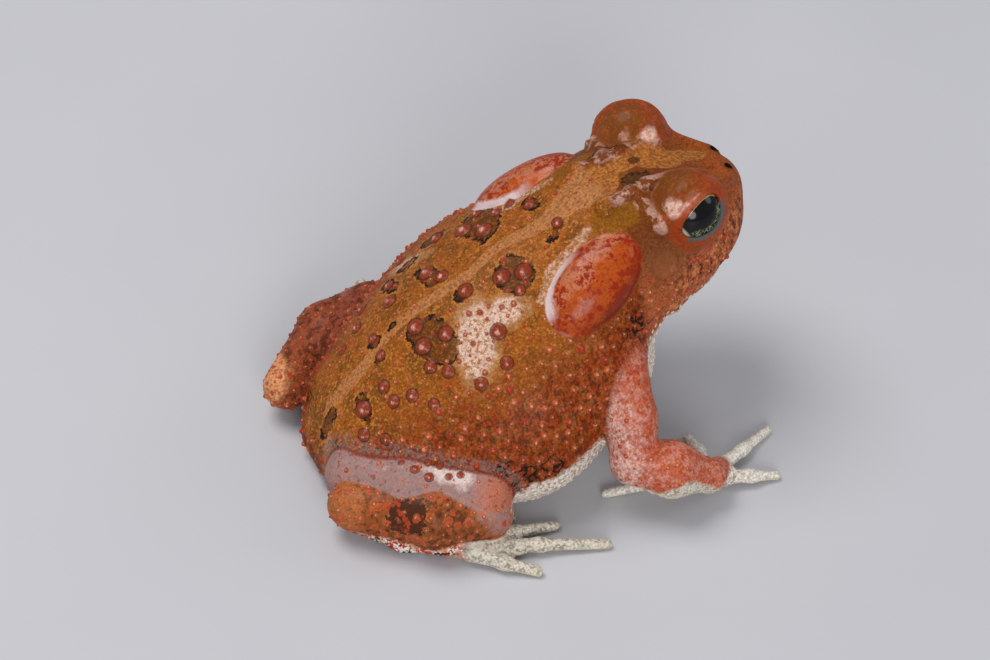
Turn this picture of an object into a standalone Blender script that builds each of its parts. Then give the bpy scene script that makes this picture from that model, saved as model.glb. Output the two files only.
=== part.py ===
"""A southern toad at life size, sitting on the floor with its legs folded.

The animal looks along +X, its left side is +Y, and the floor it sits on is z = 0.
The origin is the middle of the belly's flat underside. Sizes below are in millimetres
and METRE turns them into Blender's metres where a mesh is finished.

Every sub-part is a form: a function that gives the distance from any point to the
skin, negative inside. A rough cage of balls is voxel-remeshed and its points are
moved on to the form, which blends the muscles into each other as flesh does.
"""

import math
import random

import bmesh
import bpy
import numpy as np
from mathutils import Matrix, Vector

METRE = 0.001

# Room kept between two sub-parts that meet.
GAP = 0.3
# How far a cutter stands out from the neighbour that it copies.
CUT_OUT = 0.34
# Height of the floor, where the belly, hands and feet have their flats.
FLOOR = 0.0

# Trunk: stations from the vent to the throat, each with
# (x, height of the back, height of the widest place, half width, height of the belly).
TRUNK_STATIONS = (
    (-26.4, 5.0, 3.2, 4.0, 1.2),
    (-24.6, 9.2, 4.2, 8.2, 0.5),
    (-20.0, 14.6, 5.6, 12.8, -0.6),
    (-14.0, 20.4, 6.4, 16.8, -1.2),
    (-8.0, 24.0, 7.4, 20.0, -1.4),
    (-2.0, 27.0, 8.4, 21.2, -1.4),
    (4.0, 29.3, 10.5, 19.6, -0.8),
    (9.0, 30.8, 14.0, 17.0, 1.6),
    (13.5, 31.4, 17.5, 13.6, 6.0),
    (18.0, 31.0, 23.5, 9.5, 17.0),
)
# Width of the left half against the right one, as (x, share): the toad leans a little.
TRUNK_LEFT_SHARE = ((-26.0, 0.84), (-14.0, 0.86), (-6.0, 0.92), (2.0, 0.99), (9.0, 1.06), (18.0, 1.06))
TRUNK_SQUARENESS_ABOVE = 1.8
TRUNK_SQUARENESS_BELOW = 2.5

# The full chest in front of the arms.
CHEST = ((8.8, 0.0, 9.2), (11.0, 14.4, 11.4))
CHEST_BLEND = 4.0
NECK_BLEND = 5.0
# Two more rough balls that fill the trunk before its mesh settles on the form.
TRUNK_BALLS = (((-10.0, 0.0, 9.5), (14.5, 17.0, 11.0)), ((0.0, 0.0, 14.0), (12.0, 15.5, 13.5)))

# The head's own origin and its slight turn to the left.
HEAD_ORIGIN = np.array((14.0, 0.0, 20.0))
HEAD_YAW = 3.0
# Head masses as (centre, radii) from the head's origin, and how softly each joins the rest.
CRANIUM = ((4.0, 0.0, 6.0), (12.0, 10.6, 8.0))
SNOUT = ((11.9, 0.2, 4.4), (7.6, 7.0, 6.2))
SNOUT_BLEND = 3.0
UPPER_JAW = ((4.6, 0.0, 2.9), (13.7, 11.4, 4.8))
JAW_BLEND = 2.5
THROAT = ((3.5, 0.0, -0.6), (13.2, 10.4, 4.4))
THROAT_BLEND = 2.0
MUZZLE = ((15.0, 0.1, 6.8), (4.4, 4.2, 3.5))
MUZZLE_BLEND = 1.6
BROW = ((8.3, 7.3, 11.4), (4.8, 4.7, 5.4))
BROW_BLEND = 2.2
# Ridges as stops of (x, distance from the middle, z, radius): from the eye to the nostril,
# and the bony crests beside and behind the eye, with a knob at the rear end.
CANTHUS = ((11.4, 6.0, 11.6, 1.2), (16.6, 2.9, 9.7, 0.7))
CANTHUS_BLEND = 1.2
CREST = ((-1.8, 3.6, 13.2, 0.85), (4.4, 3.3, 13.9, 0.75), (9.2, 3.3, 13.5, 0.7))
CREST_BEHIND_EYE = ((2.2, 3.8, 13.7, 0.75), (3.2, 8.8, 11.8, 0.8))
CREST_KNOB = ((-1.9, 3.7, 13.1), 1.1)
CREST_BLEND = 0.9
NOSTRIL = ((17.0, 2.3, 9.9), 0.6)
NOSTRIL_EDGE = 0.3
EYE_CENTRE = (7.8, 7.9, 12.0)
EYE_RADIUS = 3.6
# The way that the eye looks, the pitch of the line between the lids, and the half length
# and half height of their opening. The lids stand out from the eye by LID_OVER.
EYE_GAZE = (0.05, 0.92, 0.38)
EYE_PITCH = 21.0
EYE_OPENING = (3.3, 2.1)
BEHIND_EYE = 9.0
LID_OVER = 0.8
LID_BLEND = 0.8
LID_EDGE = 0.2
# The upper lip stands proud of the lower jaw by the overhang, along a line that drops
# from the snout to the jaw's corner, and the step fades out over the chin.
MOUTH_CORNER_X = -1.0
MOUTH_CORNER_HEIGHT = 0.6
MOUTH_SLOPE = 0.09
MOUTH_FADE = 2.0
LIP_OVERHANG = 0.55
LIP_EDGE = 0.35
CHIN_FADE = 3.4

# The neck cut between head and torso: a point on it and the way that it faces.
NECK_POINT = (12.5, 0.0, 22.5)
NECK_NORMAL = (0.862, 0.0, 0.507)

# Parotoid gland: the ends of its long axis as (x, distance from the middle, z), its half
# length, half width and height, and how deep its middle is sunk in the skin.
PAROTOID_ENDS = ((12.8, 8.4, 29.8), (2.6, 12.8, 25.6))
PAROTOID_RADII = (7.3, 3.9, 2.5)
PAROTOID_SUNK = 0.5

# Limbs of one side, as stops of (x, distance from the middle, z, radius).
UPPER_ARM = ((9.6, 13.0, 17.0, 3.8), (8.8, 19.5, 12.0, 3.1), (8.0, 22.3, 7.8, 2.9))
FOREARM = ((8.0, 22.4, 7.2, 3.0), (12.0, 24.6, 6.2, 3.5), (16.8, 25.6, 3.9, 2.1))
PALM = ((16.8, 25.6, 3.7, 2.0), (19.0, 24.0, 2.0, 1.9))
FINGERS = (
    ((18.6, 23.6, 1.7, 1.15), (24.0, 21.4, 1.3, 0.7), (28.8, 19.1, 0.55, 0.58)),
    ((18.9, 24.6, 1.7, 1.15), (22.8, 25.9, 1.3, 0.7), (26.1, 26.6, 0.55, 0.58)),
    ((18.0, 22.8, 1.6, 1.1), (18.9, 19.4, 1.2, 0.7), (18.9, 16.0, 0.55, 0.58)),
    ((16.6, 23.2, 1.6, 1.1), (10.8, 21.6, 1.1, 0.7), (5.1, 20.2, 0.55, 0.58)),
)
THIGH = ((-23.6, 7.4, 4.6, 3.8), (-18.5, 13.6, 5.8, 4.1), (-11.1, 18.8, 6.1, 3.6))
# The left thigh is drawn further in under the body.
LEFT_THIGH = ((-18.6, 8.0, 5.0, 3.4), (-16.6, 13.0, 5.8, 3.8), (-11.1, 18.4, 6.0, 3.6))
SHANK = ((-11.1, 20.5, 4.6, 3.0), (-17.5, 18.1, 4.8, 3.8), (-25.9, 11.6, 4.3, 3.0))
TARSUS = ((-25.9, 12.0, 2.4, 1.8), (-21.3, 17.2, 1.9, 1.8), (-15.3, 21.0, 1.7, 1.9))
TOES = (
    ((-15.3, 20.2, 1.4, 1.1), (-12.3, 18.4, 1.1, 0.75), (-9.2, 16.9, 0.6, 0.6)),
    ((-14.5, 20.8, 1.4, 1.1), (-11.1, 20.0, 1.1, 0.75), (-7.3, 18.9, 0.6, 0.6)),
    ((-13.7, 21.4, 1.4, 1.15), (-8.3, 21.8, 1.2, 0.8), (-2.9, 22.5, 0.6, 0.62)),
    ((-13.7, 22.2, 1.4, 1.2), (-6.3, 25.0, 1.2, 0.8), (1.6, 28.0, 0.6, 0.62)),
    ((-14.7, 22.8, 1.4, 1.1), (-11.5, 25.8, 1.1, 0.8), (-8.2, 28.4, 0.6, 0.66)),
)
# Webs between neighbouring toes: how far out along the toes they reach, and half their thickness.
WEB_REACH = 0.42
WEB_HALF_THICKNESS = 0.34
WEB_HEIGHT = 0.9
HAND_BLEND = 1.0
FOOT_BLEND = 1.2
WEB_BLEND = 0.5
# The left leg lies a little closer to the body than the right one.
LEFT_LEG_SHIFT = (0.6, -0.8)

# Large warts of the back as (x, y, radius), in two ragged rows beside the stripe.
BACK_WARTS = (
    (-1.8, 7.1, 1.25), (-0.2, 4.6, 1.3), (0.8, 9.1, 0.9), (2.4, 6.6, 0.9), (4.3, 6.5, 0.8), (5.6, 3.6, 0.9),
    (-8.2, 4.3, 1.2), (-7.2, 1.9, 1.0), (-11.9, 7.8, 0.9), (-17.2, 5.9, 0.9), (-19.6, 5.0, 0.8),
    (-16.9, 1.6, 0.8), (-1.6, -3.6, 1.2), (0.9, -4.6, 1.2), (-0.4, -6.4, 0.8), (-5.9, -2.3, 1.1),
    (6.8, -1.9, 0.8), (-12.6, -2.0, 1.2),
    (-12.8, -4.8, 1.2), (-10.0, -5.4, 1.1), (-4.6, -9.1, 1.1), (-13.0, -7.4, 0.9), (-11.4, -9.2, 0.9),
    (-5.0, -12.5, 0.9), (-8.5, -12.6, 0.9), (-18.2, -4.8, 0.9), (-17.9, -7.1, 0.9), (-15.9, -8.3, 0.9),
    (-14.1, -10.8, 0.8), (-21.0, -4.7, 1.2), (-22.0, -7.0, 0.9), (-20.0, -9.3, 0.8), (-17.1, -1.4, 0.8),
    (-4.4, 9.8, 1.0), (-8.6, 11.6, 0.9), (-13.2, 4.6, 1.1), (-15.4, 8.6, 0.9),
)
WART_HEIGHT = 0.8
SMALL_WART = 0.95
# Small warts of each flank: how many, their radii, and the part of the flank that they cover.
FLANK_WARTS = 26
FLANK_TRIES = 300
FLANK_WART_RADIUS = (0.6, 0.8)
FLANK_X = (-17.0, 7.0)
FLANK_Z = (6.0, 18.0)
FLANK_APART = 2.6
LIMB_CLEARANCE = 1.8
# Warts of a thigh as (x, distance from the middle, radius).
THIGH_WARTS = (
    (-18.4, 14.4, 0.75), (-17.2, 16.0, 0.75), (-15.4, 15.2, 0.5), (-15.0, 17.0, 0.6),
    (-19.4, 12.6, 0.5), (-13.6, 17.4, 0.6), (-16.6, 14.2, 0.45),
)
# The height from which warts are let down on to the skin.
DROP_HEIGHT = 45.0

SEED = 11

# How finely each sub-part is grown and how many triangles it keeps.
CAGE_SPACING = 0.5
SMALL_BALL = 4.0
TORSO_VOXEL = 1.3
TORSO_TRIANGLES = 2200
HEAD_VOXEL = 0.8
HEAD_TRIANGLES = 3400
PAROTOID_VOXEL = 0.7
PAROTOID_TRIANGLES = 420
LIMB_VOXEL = {"upper_arm": 0.8, "forearm": 0.8, "hand": 0.36, "thigh": 0.9, "shank": 0.9, "foot": 0.38}
LIMB_TRIANGLES = {"upper_arm": 240, "forearm": 260, "hand": 760, "thigh": 340, "shank": 340, "foot": 1000}
WEB_STEPS = 7
SETTLE_STEPS = 10
SETTLE_LIMIT = 0.6
SLOPE_STEP = 0.04
MARCH_STEPS = 60
MARCH_SHARE = 0.7
SHARP_ANGLE = 50.0

# Colours as linear red, green and blue.
COLOURS = {
    "head": (0.33, 0.085, 0.02),
    "torso": (0.30, 0.10, 0.025),
    "parotoid": (0.52, 0.11, 0.03),
    "eye": (0.012, 0.010, 0.008),
    "arm": (0.45, 0.10, 0.06),
    "hand": (0.62, 0.48, 0.27),
    "leg": (0.32, 0.09, 0.04),
    "foot": (0.50, 0.36, 0.20),
}
SKIN_ROUGHNESS = 0.55
EYE_ROUGHNESS = 0.05


# Distances.

def ellipsoid(points, centre, radii, axes=None):
    """Distance to an ellipsoid. axes has the ellipsoid's own directions as columns."""
    offset = points - np.asarray(centre, float)
    if axes is not None:
        offset = offset @ axes
    radii = np.asarray(radii, float)
    near = np.linalg.norm(offset / radii, axis=1)
    slope = np.linalg.norm(offset / radii ** 2, axis=1)
    return near * (near - 1.0) / np.maximum(slope, 1e-6)


def round_form(points, centre, radius):
    """Distance to a ball."""
    return np.linalg.norm(points - np.asarray(centre, float), axis=1) - radius


def bar(points, start, end, start_radius, end_radius):
    """Distance to a tapered bar with round ends."""
    start = np.asarray(start, float)
    along = np.asarray(end, float) - start
    offset = points - start
    share = np.clip(offset @ along / (along @ along), 0.0, 1.0)
    radius = start_radius + (end_radius - start_radius) * share
    return np.linalg.norm(offset - share[:, None] * along, axis=1) - radius


def joined(first, second, blend):
    """Smooth union of two distances."""
    share = np.clip(0.5 + 0.5 * (second - first) / blend, 0.0, 1.0)
    return second * (1.0 - share) + first * share - blend * share * (1.0 - share)


def carved(body, cutter, blend):
    """The body with the cutter taken out, its edge softened."""
    return -joined(-body, cutter, blend)


def chain(points, stops, blend=1.0):
    """Tapered bars through stops of (x, y, z, radius)."""
    found = None
    for start, end in zip(stops[:-1], stops[1:]):
        piece = bar(points, start[:3], end[:3], start[3], end[3])
        found = piece if found is None else joined(found, piece, blend)
    return found


def smooth_curve(stops_x, stops_y, x):
    """A curve through the stops that bends evenly between them."""
    slopes = np.gradient(stops_y, stops_x)
    place = np.clip(np.searchsorted(stops_x, x) - 1, 0, len(stops_x) - 2)
    step = stops_x[place + 1] - stops_x[place]
    t = np.clip((x - stops_x[place]) / step, 0.0, 1.0)
    start = (2 * t ** 3 - 3 * t ** 2 + 1) * stops_y[place] + (t ** 3 - 2 * t ** 2 + t) * step * slopes[place]
    end = (3 * t ** 2 - 2 * t ** 3) * stops_y[place + 1] + (t ** 3 - t ** 2) * step * slopes[place + 1]
    return start + end


def eased(value, low, high):
    """0 below low, 1 above high and a soft step between them."""
    share = np.clip((value - low) / (high - low), 0.0, 1.0)
    return share * share * (3.0 - 2.0 * share)


def along_table(x, table):
    """The value of a table of (x, value) at each x."""
    table = np.array(table)
    return np.interp(x, table[:, 0], table[:, 1])


def mirrored(stops, side):
    """Stops of one side placed left (side 1) or right (side -1)."""
    shift = LEFT_LEG_SHIFT if side > 0.0 and stops[0][0] < 0.0 else (0.0, 0.0)
    return tuple((stop[0] + shift[0], side * (stop[1] + shift[1]), *stop[2:]) for stop in stops)


# Forms.

def trunk_form(points):
    table = np.array(TRUNK_STATIONS)
    stations = table[:, 0]
    x = points[:, 0]
    top, widest, half_width, bottom = (smooth_curve(stations, table[:, k], x) for k in range(1, 5))
    left = along_table(x, TRUNK_LEFT_SHARE)
    half_width = half_width * np.where(points[:, 1] > 0.0, left, 1.0)
    above = points[:, 2] > widest
    height = np.where(above, top - widest, widest - bottom)
    across = np.abs(points[:, 1]) / half_width
    upward = np.abs(points[:, 2] - widest) / height
    power = np.where(above, TRUNK_SQUARENESS_ABOVE, TRUNK_SQUARENESS_BELOW)
    ring = (across ** power + upward ** power) ** (1.0 / power)
    side = (ring - 1.0) * np.minimum(half_width, height)
    ends = np.abs(x - 0.5 * (stations[0] + stations[-1])) - 0.5 * (stations[-1] - stations[0])
    return np.maximum(side, ends)


def head_frame(points):
    """Points in the head's own frame, and the same with the left side folded on to the right."""
    yaw = math.radians(HEAD_YAW)
    cosine, sine = math.cos(yaw), math.sin(yaw)
    turn = np.array(((cosine, -sine, 0.0), (sine, cosine, 0.0), (0.0, 0.0, 1.0)))
    own = (points - HEAD_ORIGIN) @ turn
    folded = own.copy()
    folded[:, 1] = np.abs(own[:, 1])
    return own, folded


def head_place(spot, side=1.0):
    """A spot of the head's own frame in the toad's frame."""
    yaw = math.radians(HEAD_YAW)
    x = spot[0] * math.cos(yaw) - side * spot[1] * math.sin(yaw)
    y = spot[0] * math.sin(yaw) + side * spot[1] * math.cos(yaw)
    return HEAD_ORIGIN + (x, y, spot[2])


def eye_axes():
    """The eye's own directions in the folded head: along the lids, up across them, and outwards."""
    pitch = math.radians(EYE_PITCH)
    gaze = np.array(EYE_GAZE) / np.linalg.norm(EYE_GAZE)
    along = np.array((math.cos(pitch), 0.0, math.sin(pitch)))
    along -= (along @ gaze) * gaze
    along /= np.linalg.norm(along)
    return np.stack((along, np.cross(along, gaze), gaze), axis=1)


def eye_opening(folded):
    """Distance to the rim of the lids, seen along the gaze: less than 0 inside it."""
    own = (folded - np.array(EYE_CENTRE)) @ eye_axes()
    share = np.hypot(own[:, 0] / EYE_OPENING[0], own[:, 1] / EYE_OPENING[1])
    return np.where(own[:, 2] > 0.0, (share - 1.0) * EYE_OPENING[1], BEHIND_EYE)


def head_form(points):
    own, folded = head_frame(points)
    form = joined(ellipsoid(own, *CRANIUM), ellipsoid(own, *SNOUT), SNOUT_BLEND)
    form = joined(form, ellipsoid(own, *UPPER_JAW), JAW_BLEND)
    form = joined(form, ellipsoid(own, *THROAT), THROAT_BLEND)
    form = joined(form, ellipsoid(own, *MUZZLE), MUZZLE_BLEND)
    return joined(form, ellipsoid(folded, *BROW), BROW_BLEND)


def body_form(points):
    """Torso and head as one piece."""
    torso = joined(trunk_form(points), ellipsoid(points, *CHEST), CHEST_BLEND)
    return joined(torso, head_form(points), NECK_BLEND)


def face_form(points):
    """The body with crests, lids, nostrils and the line of the mouth."""
    own, folded = head_frame(points)
    form = joined(body_form(points), chain(folded, CANTHUS), CANTHUS_BLEND)
    form = joined(form, chain(folded, CREST), CREST_BLEND)
    form = joined(form, round_form(folded, *CREST_KNOB), CREST_BLEND)
    form = joined(form, chain(folded, CREST_BEHIND_EYE), CREST_BLEND)
    below = MOUTH_CORNER_HEIGHT + MOUTH_SLOPE * (own[:, 0] - MOUTH_CORNER_X) - own[:, 2]
    step = np.clip(below / LIP_EDGE, 0.0, 1.0) * np.clip(1.0 - below / CHIN_FADE, 0.0, 1.0)
    form = form + LIP_OVERHANG * step * eased(own[:, 0], MOUTH_CORNER_X, MOUTH_CORNER_X + MOUTH_FADE)
    form = carved(form, round_form(folded, *NOSTRIL), NOSTRIL_EDGE)
    eyeball = round_form(folded, EYE_CENTRE, EYE_RADIUS)
    form = joined(form, eyeball - LID_OVER, LID_BLEND)
    return carved(form, np.maximum(eye_opening(folded), -eyeball), LID_EDGE)


def web_corners(toe, next_toe):
    """The flat triangle of skin between two toes, at one height."""
    corners = []
    for stops, share in ((toe, 0.0), (toe, WEB_REACH), (next_toe, WEB_REACH)):
        start = np.array(stops[0][:3])
        end = np.array(stops[-1][:3])
        corners.append(start + (end - start) * share)
    corners = np.array(corners)
    corners[:, 2] = WEB_HEIGHT
    return corners


def triangle(points, corners):
    """Distance to a flat triangle."""
    a, b, c = corners
    normal = np.cross(b - a, c - a)
    normal /= np.linalg.norm(normal)
    nearest = None
    inside = np.ones(len(points), bool)
    for start, end in ((a, b), (b, c), (c, a)):
        along = end - start
        offset = points - start
        share = np.clip(offset @ along / (along @ along), 0.0, 1.0)
        gap = np.linalg.norm(offset - share[:, None] * along, axis=1)
        nearest = gap if nearest is None else np.minimum(nearest, gap)
        inside &= np.cross(along, offset) @ normal >= 0.0
    return np.where(inside, np.abs((points - a) @ normal), nearest)


# Meshes.

def ball_cage(balls):
    """A mesh of loose balls, each (centre, radii), big enough to remesh into one piece."""
    cage = bmesh.new()
    for centre, radii in balls:
        place = Matrix.Translation(Vector(centre)) @ Matrix.Diagonal((*radii, 1.0))
        fineness = 3 if max(radii) > SMALL_BALL else 2
        bmesh.ops.create_icosphere(cage, subdivisions=fineness, radius=1.0, matrix=place)
    mesh = bpy.data.meshes.new("cage")
    cage.to_mesh(mesh)
    cage.free()
    return mesh


def stops_to_balls(stops):
    """Balls set close along tapered bars."""
    balls = []
    for start, end in zip(stops[:-1], stops[1:]):
        start = np.array(start)
        end = np.array(end)
        count = max(2, int(np.linalg.norm(end[:3] - start[:3]) / (CAGE_SPACING * min(start[3], end[3]))))
        for share in np.linspace(0.0, 1.0, count):
            spot = start + (end - start) * share
            balls.append((tuple(spot[:3]), (spot[3],) * 3))
    return balls


def applied(item, kind, **settings):
    """Adds one modifier to an object and makes its result the object's own mesh."""
    modifier = item.modifiers.new(kind.title(), kind)
    for key, value in settings.items():
        setattr(modifier, key, value)
    evaluated = item.evaluated_get(bpy.context.evaluated_depsgraph_get())
    mesh = bpy.data.meshes.new_from_object(evaluated)
    item.modifiers.clear()
    item.data = mesh
    return item


def read_points(mesh):
    points = np.empty(len(mesh.vertices) * 3)
    mesh.vertices.foreach_get("co", points)
    return points.reshape(-1, 3)


def settle(mesh, form, level=0.0, steps=SETTLE_STEPS):
    """Moves each point along the form's slope until the form reads the level there."""
    points = read_points(mesh)
    for _ in range(steps):
        here = form(points) - level
        slope = np.empty_like(points)
        for axis in range(3):
            nudge = np.zeros(3)
            nudge[axis] = SLOPE_STEP
            slope[:, axis] = (form(points + nudge) - form(points - nudge)) / (2.0 * SLOPE_STEP)
        strength = np.maximum((slope ** 2).sum(axis=1), 0.05)
        step = -here / strength
        length = np.abs(step) * np.sqrt(strength)
        step *= np.minimum(1.0, SETTLE_LIMIT / np.maximum(length, 1e-9))
        points += step[:, None] * slope
    mesh.vertices.foreach_set("co", points.ravel())
    mesh.update()


def new_object(name, mesh, group):
    item = bpy.data.objects.new(name, mesh)
    group.objects.link(item)
    return item


def grown(name, balls, form, group, voxel, triangles, level=0.0):
    """A closed mesh on the form: remeshed, settled twice and thinned to about the triangles asked."""
    item = new_object(name, ball_cage(balls), group)
    for _ in range(2):
        applied(item, "REMESH", mode="VOXEL", voxel_size=voxel)
        settle(item.data, form, level)
    faces = 2 * len(item.data.polygons)
    applied(item, "DECIMATE", ratio=min(1.0, triangles / faces), use_collapse_triangulate=True)
    return item


def largest_surface(mesh):
    """Keeps only the largest closed surface of a mesh."""
    shape = bmesh.new()
    shape.from_mesh(mesh)
    shape.verts.ensure_lookup_table()
    left = set(shape.verts)
    surfaces = []
    while left:
        reached = {left.pop()}
        edge_of_reach = list(reached)
        while edge_of_reach:
            vertex = edge_of_reach.pop()
            for edge in vertex.link_edges:
                other = edge.other_vert(vertex)
                if other in left:
                    left.discard(other)
                    reached.add(other)
                    edge_of_reach.append(other)
        surfaces.append(reached)
    surfaces.sort(key=len, reverse=True)
    loose = [vertex for surface in surfaces[1:] for vertex in surface]
    bmesh.ops.delete(shape, geom=loose, context="VERTS")
    shape.to_mesh(mesh)
    shape.free()
    mesh.update()


def plane_cut(mesh, point, normal):
    """Takes away what lies on the normal's side of a plane and closes the cut."""
    shape = bmesh.new()
    shape.from_mesh(mesh)
    geometry = shape.verts[:] + shape.edges[:] + shape.faces[:]
    bmesh.ops.bisect_plane(shape, geom=geometry, dist=1e-5, plane_co=Vector(point),
                           plane_no=Vector(normal), clear_outer=True)
    rim = [edge for edge in shape.edges if edge.is_boundary]
    bmesh.ops.holes_fill(shape, edges=rim, sides=0)
    bmesh.ops.triangulate(shape, faces=shape.faces[:])
    shape.to_mesh(mesh)
    shape.free()
    mesh.update()


def cut_by(item, cutters):
    """Cuts an object with its neighbours' swollen copies."""
    for cutter in cutters:
        applied(item, "BOOLEAN", operation="DIFFERENCE", solver="EXACT", object=cutter)
    largest_surface(item.data)


def sit_on_floor(item):
    plane_cut(item.data, (0.0, 0.0, FLOOR), (0.0, 0.0, -1.0))


# Skin materials.

def skin(name):
    """The material of a sub-part, chosen by the words in its name."""
    kinds = {"head": "head", "torso": "torso", "parotoid": "parotoid", "eye": "eye", "upper": "arm",
             "forearm": "arm", "hand": "hand", "thigh": "leg", "shank": "leg", "foot": "foot"}
    kind = kinds[name.split("_")[0]]
    material = bpy.data.materials.get(kind)
    if material is None:
        material = bpy.data.materials.new(kind)
        material.use_nodes = True
        shader = material.node_tree.nodes["Principled BSDF"]
        shader.inputs["Base Color"].default_value = (*COLOURS[kind], 1.0)
        shader.inputs["Roughness"].default_value = EYE_ROUGHNESS if kind == "eye" else SKIN_ROUGHNESS
        shader.inputs["Metallic"].default_value = 0.0
    return material


def finish(item):
    """Turns millimetres into metres and gives the object its skin."""
    item.data.transform(Matrix.Scale(METRE, 4))
    item.data.name = item.name
    item.data.materials.clear()
    item.data.materials.append(skin(item.name))
    item.data.shade_smooth()
    item.data.set_sharp_from_angle(angle=math.radians(SHARP_ANGLE))


# Sub-parts.

def head_balls():
    """Rough balls that fill the head and the front of the trunk."""
    balls = [TRUNK_BALLS[1]]
    for centre, radii in (CRANIUM, SNOUT, MUZZLE, UPPER_JAW, THROAT):
        balls.append((tuple(head_place(centre)), radii))
    for side in (1.0, -1.0):
        balls.append((tuple(head_place(BROW[0], side)), BROW[1]))
        for stops in (CREST, CREST_BEHIND_EYE, CANTHUS):
            balls += stops_to_balls([(*head_place(stop, side), stop[3]) for stop in stops])
    return balls


def body_balls():
    """Rough balls that fill the torso and the head."""
    return [TRUNK_BALLS[0], *head_balls()]


def ball(name, centre, radius, group):
    shape = bmesh.new()
    place = Matrix.Translation(Vector(centre))
    bmesh.ops.create_icosphere(shape, subdivisions=3, radius=radius, matrix=place)
    mesh = bpy.data.meshes.new(name)
    shape.to_mesh(mesh)
    shape.free()
    return new_object(name, mesh, group)


def wart(centre, outward, radius, group):
    """A dome sunk into the skin, its axis along the skin's outward direction."""
    turn = Vector(outward).to_track_quat("Z", "Y").to_matrix().to_4x4()
    size = Matrix.Diagonal((radius, radius, radius * WART_HEIGHT, 1.0))
    shape = bmesh.new()
    fineness = 2 if radius > SMALL_WART else 1
    place = Matrix.Translation(Vector(centre)) @ turn @ size
    bmesh.ops.create_icosphere(shape, subdivisions=fineness, radius=1.0, matrix=place)
    mesh = bpy.data.meshes.new("wart")
    shape.to_mesh(mesh)
    shape.free()
    return new_object("wart", mesh, group)


def marched(points, way, form):
    """Points moved along one direction until they meet the form."""
    points = np.array(points)
    for _ in range(MARCH_STEPS):
        points += np.maximum(form(points), 0.0)[:, None] * MARCH_SHARE * np.asarray(way)
    return points


def outward_of(points, form):
    slope = np.empty_like(points)
    for axis in range(3):
        nudge = np.zeros(3)
        nudge[axis] = SLOPE_STEP
        slope[:, axis] = form(points + nudge) - form(points - nudge)
    return slope / np.linalg.norm(slope, axis=1, keepdims=True)


def fuse(item, pieces, group):
    """One union of an object with every piece of a collection, which is then removed."""
    applied(item, "BOOLEAN", operation="UNION", solver="EXACT", operand_type="COLLECTION", collection=group)
    for piece in pieces:
        bpy.data.objects.remove(piece)
    bpy.data.collections.remove(group)
    largest_surface(item.data)


def new_group(name, hidden):
    group = bpy.data.collections.new(name)
    bpy.context.scene.collection.children.link(group)
    group.hide_render = hidden
    return group


def clear_scene():
    for item in list(bpy.data.objects):
        bpy.data.objects.remove(item)
    for group in list(bpy.data.collections):
        bpy.data.collections.remove(group)


def make_torso(group):
    torso = grown("torso", body_balls(), body_form, group, TORSO_VOXEL, TORSO_TRIANGLES)
    cut = np.array(NECK_POINT) - 0.5 * GAP * np.array(NECK_NORMAL)
    plane_cut(torso.data, cut, NECK_NORMAL)
    sit_on_floor(torso)
    return torso


def make_head(group, cutters):
    head = grown("head", head_balls(), face_form, group, HEAD_VOXEL, HEAD_TRIANGLES)
    cut = np.array(NECK_POINT) + 0.5 * GAP * np.array(NECK_NORMAL)
    plane_cut(head.data, cut, [-n for n in NECK_NORMAL])
    for side in (1.0, -1.0):
        socket = ball("eye_socket", head_place(EYE_CENTRE, side), EYE_RADIUS + GAP, cutters)
        cut_by(head, [socket])
    return head


def web_balls(corners):
    """Small balls spread over a triangle."""
    balls = []
    steps = WEB_STEPS
    for i in range(steps + 1):
        for j in range(steps + 1 - i):
            spot = corners[0] + (corners[1] - corners[0]) * i / steps + (corners[2] - corners[0]) * j / steps
            balls.append((tuple(spot), (WEB_HALF_THICKNESS + 0.15,) * 3))
    return balls


def limb_forms(side):
    """Each limb piece's stops and form, in the order in which they grow from the body."""
    def one(stops):
        placed = mirrored(stops, side)
        return stops_to_balls(placed), lambda points: chain(points, placed)

    def several(stem, branches, blend, webs=()):
        placed = [mirrored(stops, side) for stops in (stem, *branches)]
        balls = [piece for stops in placed for piece in stops_to_balls(stops)]
        sheets = [web_corners(placed[1 + k], placed[2 + k]) for k in webs]
        for corners in sheets:
            balls += web_balls(corners)

        def form(points):
            found = chain(points, placed[0])
            for stops in placed[1:]:
                found = joined(found, chain(points, stops), blend)
            for corners in sheets:
                found = joined(found, triangle(points, corners) - WEB_HALF_THICKNESS, WEB_BLEND)
            return found
        return balls, form

    return {
        "upper_arm": one(UPPER_ARM),
        "forearm": one(FOREARM),
        "hand": several(PALM, FINGERS, HAND_BLEND),
        "thigh": one(THIGH if side < 0.0 else LEFT_THIGH),
        "shank": one(SHANK),
        "foot": several(TARSUS, TOES, FOOT_BLEND, range(len(TOES) - 1)),
    }


def make_limbs(side, group, cutters, body_cutter):
    word = "left" if side > 0 else "right"
    forms = limb_forms(side)
    roots = {"upper_arm": [], "forearm": ["upper_arm"], "hand": ["forearm"],
             "thigh": [], "shank": ["thigh"], "foot": ["shank", "thigh"]}
    swollen = {}
    for part, (balls, form) in forms.items():
        triangles = LIMB_TRIANGLES[part]
        item = grown(f"{part}_{word}", balls, form, group, LIMB_VOXEL[part], triangles)
        if part == "thigh":
            make_thigh_warts(item, form, side)
        cut_by(item, [body_cutter] + [swollen[root] for root in roots[part]])
        sit_on_floor(item)
        if part in ("upper_arm", "forearm", "thigh", "shank"):
            swollen[part] = grown(f"{part}_cutter", balls, form, cutters, LIMB_VOXEL[part],
                                  triangles, CUT_OUT)


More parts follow.
